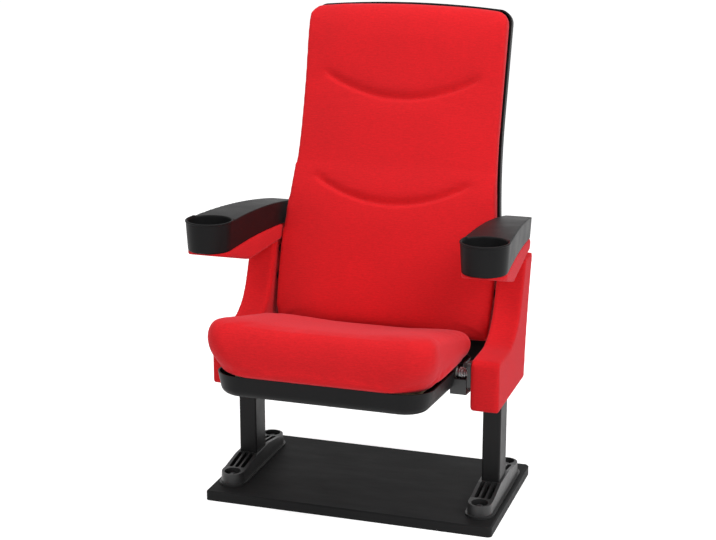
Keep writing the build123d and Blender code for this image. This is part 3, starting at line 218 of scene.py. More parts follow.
class SeatColours(bpy.types.PropertyGroup):
    """Colours of the finishes."""

    fabric: bpy.props.FloatVectorProperty(
        name="Fabric", description="Cover of the seat, back, arms and side panels", subtype="COLOR", size=3,
        default=(0.74, 0.014, 0.019), min=0.0, max=1.0)
    plastic: bpy.props.FloatVectorProperty(
        name="Moulded plastic", description="Armrests, seat pan and back shell", subtype="COLOR", size=3,
        default=(0.0105, 0.0105, 0.011), min=0.0, max=1.0)
    paint: bpy.props.FloatVectorProperty(
        name="Painted metal", description="Legs and hidden steel", subtype="COLOR", size=3,
        default=(0.009, 0.009, 0.0094), min=0.0, max=1.0)
    casting: bpy.props.FloatVectorProperty(
        name="Castings", description="Feet and hinge castings", subtype="COLOR", size=3,
        default=(0.024, 0.024, 0.0245), min=0.0, max=1.0)
    board: bpy.props.FloatVectorProperty(
        name="Base board", description="Display base", subtype="COLOR", size=3,
        default=(0.0125, 0.0125, 0.013), min=0.0, max=1.0)


class StudioSettings(bpy.types.PropertyGroup):
    """The stage, its lamps and its camera."""

    key: bpy.props.FloatProperty(
        name="Key lamp", description="Power of the large lamp above, on the right", default=62.0, min=0.0)
    above: bpy.props.FloatProperty(
        name="Top lamp", description="Power of the lamp straight above", default=40.0, min=0.0)
    front: bpy.props.FloatProperty(
        name="Front lamp", description="Power of the lamp behind the camera", default=28.0, min=0.0)
    sky: bpy.props.FloatProperty(
        name="Surroundings", description="Brightness of the room around the object", default=0.42, min=0.0)
    camera_at: bpy.props.FloatVectorProperty(
        name="Camera place", description="Where the camera stands", size=3, subtype="TRANSLATION",
        default=(1031.58605 * MM, -3257.33065 * MM, 1446.95856 * MM))
    camera_yaw: bpy.props.FloatProperty(
        name="Camera turn", description="Turn to the left of straight ahead",
        default=0.3149, subtype="ANGLE")
    camera_pitch: bpy.props.FloatProperty(
        name="Camera tilt", description="Tilt below level", default=0.27021, subtype="ANGLE")
    focal: bpy.props.FloatProperty(
        name="Focal length", description="Focal length in picture widths", default=1648.74025 / 716)


# ---- finishes ---------------------------------------------------------------------------------------
class NodeTree:
    """A tree of nodes, and the one way in which they are added."""

    def __init__(self, tree):
        self.tree = tree

    def node(self, kind, settings, values, out=0):
        """A new node: its settings first, then the values or links of its sockets."""
        made = self.tree.nodes.new(kind)
        for name, value in settings.items():
            setattr(made, name, value)
        for name, value in values.items():
            if isinstance(value, Shade):
                self.tree.links.new(value.socket, made.inputs[name])
            else:
                made.inputs[name].default_value = value
        return Shade(self, made.outputs[out]) if made.outputs else None


class Shade:
    """One value in a tree: a socket that Python's own operators work on."""

    def __init__(self, owner, socket):
        self.owner = owner
        self.socket = socket

    def with_value(self, operation, first, second):
        """A new value, worked out by a maths node."""
        return self.owner.node("ShaderNodeMath", {"operation": operation}, {0: first, 1: second})

    def __add__(self, other):
        return self.with_value("ADD", self, other)

    def __sub__(self, other):
        return self.with_value("SUBTRACT", self, other)

    def __mul__(self, other):
        return self.with_value("MULTIPLY", self, other)

    def wave(self):
        return self.with_value("SINE", self, 0.0)

    def limited(self, low, high):
        return self.owner.node("ShaderNodeClamp", {}, {"Value": self, "Min": low, "Max": high})

    def part(self, name):
        """Another output of the node that made this value."""
        return Shade(self.owner, self.socket.node.outputs[name])


class Finish(NodeTree):
    """The nodes of a material or of the world."""

    def __init__(self, holder):
        holder.use_nodes = True
        self.holder = holder
        super().__init__(holder.node_tree)
        self.tree.nodes.clear()

    def place(self):
        """The point's place in its own piece, in metres."""
        return self.node("ShaderNodeTexCoord", {}, {}, "Object")

    def cloth_place(self):
        """The point's place on the cloth map, in metres."""
        return self.node("ShaderNodeUVMap", {"uv_map": CLOTH_MAP}, {})

    def mapped(self, vector, scale, turn=(0, 0, 0)):
        return self.node("ShaderNodeMapping", {}, {"Vector": vector, "Scale": scale, "Rotation": turn})

    def noise(self, vector, scale, detail, roughness):
        values = {"Vector": vector, "Scale": scale, "Detail": detail, "Roughness": roughness}
        return self.node("ShaderNodeTexNoise", {}, values)

    def blend(self, share, first, second):
        """Two colours mixed by a share of the second."""
        return self.node("ShaderNodeMix", {"data_type": "RGBA"}, {0: share, 6: first, 7: second}, 2)

    def bump(self, height, strength, distance):
        values = {"Height": height, "Strength": strength, "Distance": distance}
        return self.node("ShaderNodeBump", {}, values)

    def surface(self, values):
        """The material, with a principled shader that has these values."""
        shader = self.node("ShaderNodeBsdfPrincipled", {}, values)
        self.node("ShaderNodeOutputMaterial", {}, {"Surface": shader})
        return self.holder


def new_finish(name):
    return Finish(bpy.data.materials.new(name))


def colour(rgb, level):
    """A colour with its brightness multiplied by the level."""
    return tuple(channel * level for channel in rgb) + (1.0,)


def woven_fabric(name, rgb, thread):
    """A plain-woven wool cover. Its weave follows the cloth map, its slubs run along the weft."""
    finish = new_finish(name)
    cloth = finish.cloth_place()
    split = finish.node("ShaderNodeSeparateXYZ", {}, {"Vector": cloth})
    turn = math.pi / thread
    across = (split * turn).wave()
    along = (split.part("Y") * turn).wave()
    weave = across * along
    slubs = finish.noise(finish.mapped(cloth, (60, 420, 1)), 1.0, 3.0, 0.6)
    heather = finish.noise(finish.mapped(cloth, (170, 360, 1)), 1.0, 4.0, 0.75)
    wear = finish.noise(finish.place(), 9.0, 3.0, 0.55)
    tone = weave * 0.16 + (slubs - 0.5) * 0.6 + (heather - 0.5) * 0.8 + (wear - 0.5) * 0.3 + 0.5
    tint = finish.blend(tone.limited(0.0, 1.0), colour(rgb, 0.66), colour(rgb, 1.22))
    height = weave * 0.5 + (heather - 0.5) * 0.8 + (slubs - 0.5) * 0.9
    return finish.surface({
        "Base Color": tint, "Roughness": (wear - 0.5) * 0.2 + 0.86,
        "Normal": finish.bump(height, 0.35, 0.0004),
        "Sheen Weight": 0.16, "Sheen Roughness": 0.4, "Sheen Tint": (1.0, 0.62, 0.75, 1.0),
        "Specular IOR Level": 0.15})


def sewing_thread(name, rgb):
    """Twisted thread of the cover's colour, a little shinier."""
    finish = new_finish(name)
    twist = finish.noise(finish.place(), 1800.0, 1.0, 0.5)
    tint = finish.blend(twist, colour(rgb, 0.7), colour(rgb, 1.05))
    return finish.surface({"Base Color": tint, "Roughness": twist * 0.2 + 0.5,
                           "Normal": finish.bump(twist, 0.2, 0.0002)})


def moulded_plastic(name, rgb, grain):
    """Black moulded plastic with a fine leather grain."""
    finish = new_finish(name)
    place = finish.place()
    cells = finish.node("ShaderNodeTexVoronoi", {"feature": "SMOOTH_F1"},
                        {"Vector": place, "Scale": 1 / grain})
    speckle = finish.noise(place, 2.2 / grain, 2.0, 0.6)
    smears = finish.noise(place, 14.0, 3.0, 0.6)
    height = cells * 0.7 + speckle * 0.5
    tint = finish.blend(smears, colour(rgb, 0.8), colour(rgb, 1.3))
    return finish.surface({
        "Base Color": tint, "Roughness": (smears - 0.5) * 0.22 + (speckle - 0.5) * 0.1 + 0.44,
        "Normal": finish.bump(height, 0.3, 0.00025), "Specular IOR Level": 0.09})


def painted_metal(name, rgb, grain, roughness, depth, gloss):
    """Black paint over metal, from smooth powder coat to paint over a sand casting."""
    finish = new_finish(name)
    place = finish.place()
    peel = finish.noise(place, 1 / grain, 3.0, 0.6)
    dust = finish.noise(place, 16.0, 4.0, 0.6)
    tint = finish.blend(dust, colour(rgb, 0.75), colour(rgb, 1.4))
    return finish.surface({
        "Base Color": tint, "Roughness": (dust - 0.5) * 0.25 + (peel - 0.5) * 0.12 + roughness,
        "Normal": finish.bump(peel, 0.4, depth), "Specular IOR Level": gloss})


def bare_metal(name, rgb, roughness):
    """Zinc or steel with fine scratches and dull patches."""
    finish = new_finish(name)
    place = finish.place()
    patches = finish.noise(place, 120.0, 3.0, 0.6)
    scratches = finish.noise(finish.mapped(place, (300, 2500, 2500)), 1.0, 2.0, 0.5)
    tint = finish.blend(patches, colour(rgb, 0.75), colour(rgb, 1.1))
    return finish.surface({
        "Base Color": tint, "Metallic": 1.0, "Roughness": (patches - 0.5) * 0.25 + roughness,
        "Normal": finish.bump(scratches, 0.15, 0.0001)})


def soft_rubber(name, rgb):
    """Matt rubber or bearing plastic, finely speckled."""
    finish = new_finish(name)
    place = finish.place()
    speckle = finish.noise(place, 900.0, 2.0, 0.6)
    tint = finish.blend(speckle, colour(rgb, 0.8), colour(rgb, 1.25))
    return finish.surface({"Base Color": tint, "Roughness": speckle * 0.2 + 0.65,
                           "Normal": finish.bump(speckle, 0.2, 0.0002)})


def plywood(name, rgb):
    """Board under the upholstery, with the grain along X and its plies along Z."""
    finish = new_finish(name)
    place = finish.place()
    grain = finish.noise(finish.mapped(place, (12, 160, 700)), 1.0, 4.0, 0.6)
    tint = finish.blend(grain, colour(rgb, 0.7), colour(rgb, 1.15))
    return finish.surface({"Base Color": tint, "Roughness": grain * 0.2 + 0.55,
                           "Normal": finish.bump(grain, 0.2, 0.0003)})


def base_laminate(name, rgb):
    """Matt black laminate on the display base, a little scuffed."""
    finish = new_finish(name)
    place = finish.place()
    pebble = finish.noise(place, 700.0, 2.0, 0.6)
    scuffs = finish.noise(finish.mapped(place, (9, 30, 9), (0, 0, 0.6)), 1.0, 5.0, 0.7)
    tint = finish.blend(scuffs, colour(rgb, 0.8), colour(rgb, 1.3))
    return finish.surface({"Base Color": tint, "Roughness": (scuffs - 0.5) * 0.3 + 0.6,
                           "Normal": finish.bump(pebble, 0.3, 0.0002), "Specular IOR Level": 0.12})


def finishes():
    """The seat's finishes by name, made once."""
    if "red fabric" not in bpy.data.materials:
        colours = bpy.context.scene.seat_colours
        sizes = bpy.context.scene.upholstery_sizes
        woven_fabric("red fabric", colours.fabric, sizes.thread)
        sewing_thread("sewing thread", colours.fabric)
        moulded_plastic("moulded plastic", colours.plastic, 0.0011)
        painted_metal("painted steel", colours.paint, 0.0016, 0.42, 0.00008, 0.15)
        painted_metal("painted casting", colours.casting, 0.0018, 0.38, 0.0003, 0.5)
        bare_metal("zinc", (0.72, 0.72, 0.73), 0.32)
        bare_metal("dark screws", (0.09, 0.09, 0.095), 0.4)
        soft_rubber("rubber", (0.02, 0.02, 0.02))
        soft_rubber("bearing plastic", (0.62, 0.6, 0.54))
        plywood("plywood", (0.5, 0.33, 0.18))
        base_laminate("base laminate", colours.board)
    return bpy.data.materials


# ---- mesh work --------------------------------------------------------------------------------------
def add_piece(name, mesh):
    """A new object in the scene."""
    piece = bpy.data.objects.new(name, mesh)
    bpy.context.scene.collection.objects.link(piece)
    return piece


def mesh_from(name, points, faces):
    mesh = bpy.data.meshes.new(name)
    mesh.from_pydata([tuple(point) for point in points], [], faces)
    mesh.update()
    return mesh


def copy_of(node, name):
    """A closed copy of a frame node's mesh, to work on."""
    piece = add_piece(name, NODES[node].data.copy())
    piece.data.materials.clear()
    shell = bmesh.new()
    shell.from_mesh(piece.data)
    bmesh.ops.remove_doubles(shell, verts=shell.verts, dist=1e-6)
    shell.to_mesh(piece.data)
    shell.free()
    return piece


def settled(piece):
    """The piece's modifiers, worked into its mesh."""
    depsgraph = bpy.context.evaluated_depsgraph_get()
    mesh = bpy.data.meshes.new_from_object(piece.evaluated_get(depsgraph))
    piece.modifiers.clear()
    piece.data = mesh
    return piece


def points_of(piece):
    """The mesh's points as rows of X, Y and Z, in metres."""
    points = np.empty(len(piece.data.vertices) * 3)
    piece.data.vertices.foreach_get("co", points)
    return points.reshape(-1, 3)


def normals_of(piece):
    normals = np.empty(len(piece.data.vertices) * 3)
    piece.data.vertices.foreach_get("normal", normals)
    return normals.reshape(-1, 3)


def move_points(piece, points):
    piece.data.vertices.foreach_set("co", points.ravel())
    piece.data.update()


def in_frame(points, place):
    """Points of the scene, in metres, in a tilted part's own frame, in millimetres."""
    matrix = np.array(place.inverted())
    return (points @ matrix[:3, :3].T + matrix[:3, 3]) / MM


def out_of_frame(points, place):
    """Points in a tilted part's own frame, in millimetres, brought back to the scene, in metres."""
    matrix = np.array(place)
    return (points * MM) @ matrix[:3, :3].T + matrix[:3, 3]


def smooth_step(values, low, high):
    """A share that rises softly from 0 at the low value to 1 at the high one."""
    share = np.clip((values - low) / (high - low), 0, 1)
    return share * share * (3 - 2 * share)


def remeshed(piece, cell, smoothing):
    """The piece as even cells, with its edges softened."""
    remesh = piece.modifiers.new("cells", "REMESH")
    remesh.mode = "VOXEL"
    remesh.voxel_size = cell
    settled(piece)
    soften = piece.modifiers.new("soften", "SMOOTH")
    soften.factor = 0.5
    soften.iterations = smoothing
    return settled(piece)


def grown(piece, distance_mm):
    """The piece with its surface moved outwards."""
    move_points(piece, points_of(piece) + normals_of(piece) * distance_mm * MM)
    return piece


def swollen(piece, pressure, furthest, held):
    """The cover swells under pressure, except its held points. No point moves further than given."""
    if furthest <= 0:
        return piece
    start = points_of(piece)
    group = piece.vertex_groups.new(name="held")
    group.add([int(index) for index in np.flatnonzero(held)], 1.0, "REPLACE")
    cloth = piece.modifiers.new("swell", "CLOTH")
    cloth.settings.use_pressure = True
    cloth.settings.uniform_pressure_force = pressure
    cloth.settings.effector_weights.gravity = 0.0
    cloth.settings.vertex_group_mass = group.name
    cloth.collision_settings.use_collision = False
    scene = bpy.context.scene
    for step in range(1, SWELL_FRAMES + 1):
        scene.frame_set(step)
    settled(piece)
    scene.frame_set(1)
    piece.vertex_groups.clear()
    moved = points_of(piece) - start
    length = np.linalg.norm(moved, axis=1, keepdims=True)
    share = np.minimum(1.0, furthest / np.maximum(length, 1e-9))
    move_points(piece, start + moved * share)
    return piece


def refined(piece):
    """The piece with each face split once and smoothed."""
    subdivision = piece.modifiers.new("refine", "SUBSURF")
    subdivision.levels = 1
    subdivision.render_levels = 1
    return settled(piece)


def lay_cloth(piece, place):
    """The cloth map: each face is seen from the side that it turns to, in its part's own frame."""
    mesh = piece.data
    layer = mesh.uv_layers.new(name=CLOTH_MAP)
    points = in_frame(points_of(piece), place) * MM
    corner_points = np.empty(len(mesh.loops), dtype=np.int64)
    mesh.loops.foreach_get("vertex_index", corner_points)
    face_normals = np.empty(len(mesh.polygons) * 3)
    mesh.polygons.foreach_get("normal", face_normals)
    turned = np.abs(face_normals.reshape(-1, 3) @ np.array(place)[:3, :3])
    counts = np.empty(len(mesh.polygons), dtype=np.int64)
    mesh.polygons.foreach_get("loop_total", counts)
    facing = np.repeat(np.argmax(turned, axis=1), counts)
    spots = points[corner_points]
    across = np.where(facing == 0, spots[:, 1], spots[:, 0])
    along = np.where(facing == 2, spots[:, 1], spots[:, 2])
    layer.data.foreach_set("uv", np.stack([across, along], axis=1).ravel())
    return piece


def dressed(piece, finish, body, slot, *nodes):
    """The piece gets its finish, rides on its body and stands for its nodes."""
    piece.data.materials.clear()
    piece.data.materials.append(finishes()[finish])
    for face in piece.data.polygons:
        face.use_smooth = True
    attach(piece, body)
    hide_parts(*nodes)
    return piece


def arc(middle, radius, start, end, steps):
    """Points on an arc, between two angles in degrees."""
    x, y = middle
    angles = np.radians(np.linspace(start, end, steps))
    return [(x + radius * math.cos(angle), y + radius * math.sin(angle)) for angle in angles]


def filleted(points, radii, steps=12):
    """A closed outline whose corners are rounded, each with its own radius."""
    outline = []
    count = len(points)
    for index in range(count):
        corner = Vector(points[index])
        radius = radii[index]
        if radius <= 0:
            outline.append(tuple(corner))
            continue
        before = (Vector(points[index - 1]) - corner).normalized()
        after = (Vector(points[(index + 1) % count]) - corner).normalized()
        half = before.angle(after) / 2
        inward = (before + after).normalized()
        middle = corner + inward * (radius / math.sin(half))
        first = corner + before * (radius / math.tan(half))
        last = corner + after * (radius / math.tan(half))
        begin = math.atan2(*(first - middle).yx)
        sweep = math.remainder(math.atan2(*(last - middle).yx) - begin, 2 * math.pi)
        for step in range(steps + 1):
            angle = begin + sweep * step / steps
            outline.append((middle.x + radius * math.cos(angle), middle.y + radius * math.sin(angle)))
    return outline


def drawn_in(outline, distance):
    """An outline, counter-clockwise, moved inwards."""
    points = np.array(outline)
    ahead = np.roll(points, -1, axis=0) - points
    behind = points - np.roll(points, 1, axis=0)
    ahead /= np.linalg.norm(ahead, axis=1, keepdims=True)
    behind /= np.linalg.norm(behind, axis=1, keepdims=True)
    along = ahead + behind
    along /= np.linalg.norm(along, axis=1, keepdims=True)
    inward = np.stack([-along[:, 1], along[:, 0]], axis=1)
    stretch = 1 / np.maximum(np.sum(along * ahead, axis=1), 0.3)
    return [tuple(point) for point in points + inward * distance * stretch[:, None]]


def prism(name, first, second, plane):
    """A closed block between two outlines of as many points, given as (outline, depth) in millimetres."""
    order = {"XY": (0, 1, 2), "YZ": (1, 2, 0)}[plane]
    points = []
    for outline, depth in (first, second):
        for pair in outline:
            point = [0.0, 0.0, 0.0]
            point[order[0]] = pair[0] * MM
            point[order[1]] = pair[1] * MM
            point[order[2]] = depth * MM
            points.append(point)
    count = len(first[0])
    faces = [list(range(count)), list(range(count, 2 * count))[::-1]]
    for index in range(count):
        after = (index + 1) % count
        faces.append([index, count + index, count + after, after])
    piece = add_piece(name, mesh_from(name, points, faces))
    return facing_out(piece)


def facing_out(piece):
    """The piece with its faces turned outwards and its many-sided ones in triangles."""
    shell = bmesh.new()
    shell.from_mesh(piece.data)
    bmesh.ops.triangulate(shell, faces=[face for face in shell.faces if len(face.verts) > 4])
    bmesh.ops.recalc_face_normals(shell, faces=shell.faces)
    shell.to_mesh(piece.data)
    shell.free()
    return piece


def carved(piece, other, operation):
    """A boolean of two blocks. The other block is used up."""
    cut = piece.modifiers.new("cut", "BOOLEAN")
    cut.operation = operation
    cut.object = other
    cut.solver = "EXACT"
    settled(piece)
    bpy.data.objects.remove(other)
    return piece


def mirrored(piece):
    """The left-hand copy of a right-hand piece, named after it."""
    twin = add_piece(piece.name.replace("right", "left"), piece.data.copy())
    points = points_of(twin)
    points[:, 0] *= -1
    move_points(twin, points)
    twin.data.flip_normals()
    return twin


def cover_both_sides(right, *parts):
    """A right-hand cover and its left-hand twin, each over the parts of its own side."""
    for side, piece in (("right", right), ("left", mirrored(right))):
        lay_cloth(piece, Matrix.Identity(4))
        dressed(piece, "red fabric", "frame", "red_fabric", *[f"{side}_{part}" for part in parts])


# ---- upholstery -------------------------------------------------------------------------------------
def seat_padding():
    """The seat cushion, with sides that rise over its middle behind a soft front crest."""
    sizes = bpy.context.scene.upholstery_sizes
    piece = copy_of("seat_cushion", "seat_upholstery")
    remeshed(piece, sizes.cell, 4)
    grown(piece, COVER_MM)
    points = in_frame(points_of(piece), SEAT_PLACE)
    held = points[:, 2] < SEAT_HELD_MM
    swollen(piece, sizes.pressure, sizes.swell_seat, held)
    refined(piece)
    points = in_frame(points_of(piece), SEAT_PLACE)
    x, y, z = points.T
    across = smooth_step(np.abs(x), *RISE_ACROSS_MM)
    along = smooth_step(y, *RISE_ALONG_MM)
    upper = smooth_step(z, *RISE_UP_MM)
    points[:, 2] += sizes.lift / MM * across * along * upper
    move_points(piece, out_of_frame(points, SEAT_PLACE))
    lay_cloth(piece, SEAT_PLACE)
    dressed(piece, "red fabric", "seat", "red_fabric", "seat_cushion")
    return piece


def channel_height(across, low):
    """Height of a sewn channel along the back, at a distance from the middle, in millimetres."""
    return low + CHANNEL_SAG_MM * (across / CHANNEL_HALF_MM) ** 2


def back_half(height):
    """Half the padding's width at a height along the back, in millimetres."""
    return np.interp(height, *np.array(BACK_HALVES_MM).T)


def back_deep(height):
    """The foam's thickness in its middle at a height along the back, in millimetres."""
    return np.interp(height, *np.array(BACK_DEPTHS_MM).T)


def back_blank():
    """The back's foam before it is covered: level rings, closed by a cap at the foot and at the top."""
    even = np.linspace(0, BACK_EVEN_MM, 70)
    close = np.linspace(BACK_EVEN_MM + 4, BACK_TOP_MM, 12)
    front_shares = np.linspace(-1, 1, 41)
    side_shares = np.linspace(0.1, 1, 8)
    rear_shares = np.linspace(0.9, -0.9, 10)
    rings = []
    for height in np.concatenate([even, close]):
        half = float(back_half(height))
        over = height - (BACK_TOP_MM - BACK_CORNER_MM)
        if over > 0:
            half -= BACK_CORNER_MM - math.sqrt(max(BACK_CORNER_MM ** 2 - over ** 2, 0))
        shoulder = float(back_deep(height)) - BACK_CROWN_MM
        front = [(half * share, -shoulder - BACK_CROWN_MM * (1 - share ** 2)) for share in front_shares]
        right = [(half - BACK_SIDE_IN_MM * share ** 2, -shoulder * (1 - share)) for share in side_shares]
        rear = [(half * share, 0) for share in rear_shares]
        left = [(-across, y) for across, y in right[::-1]]
        x, y = np.array(front + right + rear + left).T
        arch = BACK_ARCH_MM * smooth_step(height, BACK_ARCH_FROM_MM, BACK_TOP_MM)
        z = height - arch * (x / BACK_HALVES_MM[-1][1]) ** 2
        rings.append(out_of_frame(np.stack([x, y, z], axis=1), BACK_PLACE))
    return ringed("back_upholstery", rings)


def stitching(name, line, thread):
    """A row of stitches along a line of points, made by geometry nodes."""
    sizes = bpy.context.scene.upholstery_sizes
    tree = bpy.data.node_groups.new(name, "GeometryNodeTree")
    sockets = tree.interface
    sockets.new_socket("Line", in_out="INPUT", socket_type="NodeSocketGeometry")
    given_values = {
        "Spacing": sizes.stitch_spacing, "Length": sizes.stitch_long, "Thickness": sizes.stitch_thick}
    for label in given_values:
        sockets.new_socket(label, in_out="INPUT", socket_type="NodeSocketFloat")
    sockets.new_socket("Thread", in_out="INPUT", socket_type="NodeSocketMaterial")
    sockets.new_socket("Stitches", in_out="OUTPUT", socket_type="NodeSocketGeometry")
    nodes = NodeTree(tree)
    given = nodes.node("NodeGroupInput", {}, {}, "Line")
    curve = nodes.node("GeometryNodeMeshToCurve", {}, {"Mesh": given})
    spots = nodes.node("GeometryNodeResampleCurve", {"mode": "LENGTH"},
                       {"Curve": curve, "Length": given.part("Spacing")})
    bead = nodes.node("GeometryNodeMeshUVSphere", {}, {"Segments": 8, "Rings": 6, "Radius": 0.5})
    size = nodes.node("ShaderNodeCombineXYZ", {}, {
        "X": given.part("Thickness"), "Y": given.part("Thickness"), "Z": given.part("Length")})
    stitch = nodes.node("GeometryNodeTransform", {}, {"Geometry": bead, "Scale": size})
    along = nodes.node("GeometryNodeInputTangent", {}, {})
    turn = nodes.node("FunctionNodeAlignRotationToVector", {"axis": "Z"}, {"Vector": along})
    row = nodes.node("GeometryNodeInstanceOnPoints", {},
                     {"Points": spots, "Instance": stitch, "Rotation": turn})
    real = nodes.node("GeometryNodeRealizeInstances", {}, {"Geometry": row})
    dyed = nodes.node("GeometryNodeSetMaterial", {}, {"Geometry": real, "Material": given.part("Thread")})
    nodes.node("NodeGroupOutput", {}, {"Stitches": dyed})
    edges = [(index, index + 1) for index in range(len(line) - 1)]
    mesh = bpy.data.meshes.new(name)
    mesh.from_pydata([tuple(point) for point in line], edges, [])
    piece = add_piece(name, mesh)
    sewn = piece.modifiers.new("stitches", "NODES")
    sewn.node_group = tree
    given_values["Thread"] = thread
    for socket in sockets.items_tree:
        if socket.in_out == "INPUT" and socket.name in given_values:
            sewn[socket.identifier] = given_values[socket.name]
    return settled(piece)


def on_front(tree, across, height):
    """The place on the back's front at a distance across and a height along it, in metres."""
    start, ahead = out_of_frame(np.array([[across, -200, height], [across, -199, height]]), BACK_PLACE)
    return tree.ray_cast(Vector(start), Vector(ahead - start).normalized())[0]


def channel_stitches(back):
    """Stitches along the floor of both sewn channels."""
    tree = BVHTree.FromObject(back, bpy.context.evaluated_depsgraph_get())
    reach = CHANNEL_HALF_MM - CHANNEL_PAST_MM
    places = np.linspace(-reach, reach, CHANNEL_STITCH_POINTS)
    rows = []
    for name, low in zip(("lower_channel_stitches", "upper_channel_stitches"), CHANNELS_MM):
        line = [on_front(tree, across, channel_height(across, low)) for across in places]
        rows.append(stitching(name, line, finishes()["sewing thread"]))
    return rows


def back_padding():
    """The back cushion, with two sewn channels that sag in the middle."""
    sizes = bpy.context.scene.upholstery_sizes
    piece = back_blank()
    remeshed(piece, sizes.cell, 2)
    points = in_frame(points_of(piece), BACK_PLACE)
    x, y, z = points.T
    held = (y > -BACK_HELD_REAR_MM) | (np.abs(x) > back_half(z) - BACK_HELD_SIDE_MM)
    for low in CHANNELS_MM:
        near = np.abs(z - channel_height(x, low)) < CHANNEL_HELD_MM
        held |= near & (y < -CHANNEL_FRONT_MM) & (np.abs(x) < CHANNEL_HALF_MM)
    swollen(piece, sizes.pressure, sizes.swell_back, held)
    refined(piece)
    points = in_frame(points_of(piece), BACK_PLACE)
    x, y, z = points.T
    for low in CHANNELS_MM:
        off = z - channel_height(x, low)
        ends = smooth_step(CHANNEL_HALF_MM + CHANNEL_PAST_MM - np.abs(x), 0, CHANNEL_FADE_MM)
        above = np.exp(-(off / CHANNEL_ABOVE_MM) ** 2) * (off > 0)
        below = np.exp(-(off / CHANNEL_BELOW_MM) ** 2) * (off <= 0)
        points[:, 1] += sizes.channel_deep / MM * (above + below) * ends * (y < -CHANNEL_FRONT_MM)
    move_points(piece, out_of_frame(points, BACK_PLACE))
    lay_cloth(piece, BACK_PLACE)
    dressed(piece, "red fabric", "frame", "red_fabric", "back_cushion")
    return piece


def panel_outline():
    """The side panel in Y and Z, counter-clockwise from its lower front corner."""
    foot = (PANEL_FOOT_REAR_MM, PANEL_LOW_MM.z)
    head = (PANEL_TOP_REAR_MM, PANEL_HIGH_MM.z)
    radii = {
        (PANEL_FRONT_MM, PANEL_LOW_MM.z): PANEL_TOE_RADIUS_MM,
        foot: 0,
        head: 0,
        (PANEL_TOP_FRONT_MM, PANEL_HIGH_MM.z): 0,
        (PANEL_NECK_MM, PANEL_SHELF_MM): PANEL_SWEEP_RADIUS_MM,
        (PANEL_FRONT_MM, PANEL_SHELF_MM): PANEL_NOSE_RADIUS_MM,
    }
    outline = filleted(list(radii), list(radii.values()))
    rear = arc_through(head, PANEL_REAR_MIDDLE_MM, foot)
    start = outline.index(foot)
    return outline[:start + 1] + rear[::-1][1:-1] + outline[start + 1:]


def arc_through(top, middle, low):
    """Points along the arc through three places."""
    ax, ay = top
    bx, by = middle
    cx, cy = low
    area = 2 * (ax * (by - cy) + bx * (cy - ay) + cx * (ay - by))
    squares = (ax * ax + ay * ay, bx * bx + by * by, cx * cx + cy * cy)
    ux = (squares[0] * (by - cy) + squares[1] * (cy - ay) + squares[2] * (ay - by)) / area
    uy = (squares[0] * (cx - bx) + squares[1] * (ax - cx) + squares[2] * (bx - ax)) / area
    radius = math.hypot(ax - ux, ay - uy)
    first = math.degrees(math.atan2(ay - uy, ax - ux))
    last = math.degrees(math.atan2(cy - uy, cx - ux))
    last = first + math.remainder(last - first, 360)
    return arc((ux, uy), radius, first, last, 40)


def panel_cover():
    """A side panel's padded cover, right hand, drawn tight over its shells."""
    outline = panel_outline()
    piece = prism("right_panel_upholstery", (outline, PANEL_LOW_MM.x), (outline, PANEL_OUTER_X_MM), "YZ")
    remeshed(piece, PANEL_CELL_MM * MM, 4)
    return refined(grown(piece, COVER_MM))


def arm_outline():
    """The armrest from above, counter-clockwise: straight inside, flared outside, round at the cup."""
    flare = math.atan2(ARM_FLARE_MM, ARM_REAR_MM - CUP_Y_MM)
    leave = (CUP_X_MM + CUP_TOP_MM * math.cos(flare), CUP_Y_MM + CUP_TOP_MM * math.sin(flare))
    inner = CUP_X_MM - CUP_TOP_MM
    cup = arc((CUP_X_MM, CUP_Y_MM), CUP_TOP_MM, -180, math.degrees(flare), 48)
    outer = leave[0] - ARM_FLARE_MM
    behind = [leave, (outer, ARM_REAR_MM), (inner, ARM_REAR_MM), (inner, CUP_Y_MM)]
    sides = filleted(behind, [0, ARM_OUTER_RADIUS_MM, ARM_INNER_RADIUS_MM, 0], 8)
    return cup + sides[1:-1]


def fall(start, end):
    """The fall of the arm towards the back: level at its start, then curving down."""
    run, drop = end[0] - start[0], start[1] - end[1]
    radius = (run * run + drop * drop) / (2 * drop)
    steps = 24
    points = []
    for step in range(steps + 1):
        along = run * step / steps
        points.append((start[0] + along, start[1] - radius + math.sqrt(radius * radius - along * along)))
    return points


def arm_side(front, rear):
    """The armrest's side view in Y and Z, counter-clockwise."""
    top = fall((CUP_Y_MM, ARM_TOP_MM), (rear, ARM_TOP_REAR_MM))
    under = fall((ARM_LEVEL_MM, ARM_JOIN_MM), (rear, ARM_JOIN_REAR_MM))
    return [(front, ARM_JOIN_MM)] + under + top[::-1] + [(front, ARM_TOP_MM)]


def cut_to_side_view(piece, side):
    """The piece, cut to an outline in Y and Z."""
    near, far = SIDE_VIEW_MM
    return carved(piece, prism("side view", (side, near), (side, far), "YZ"), "INTERSECT")


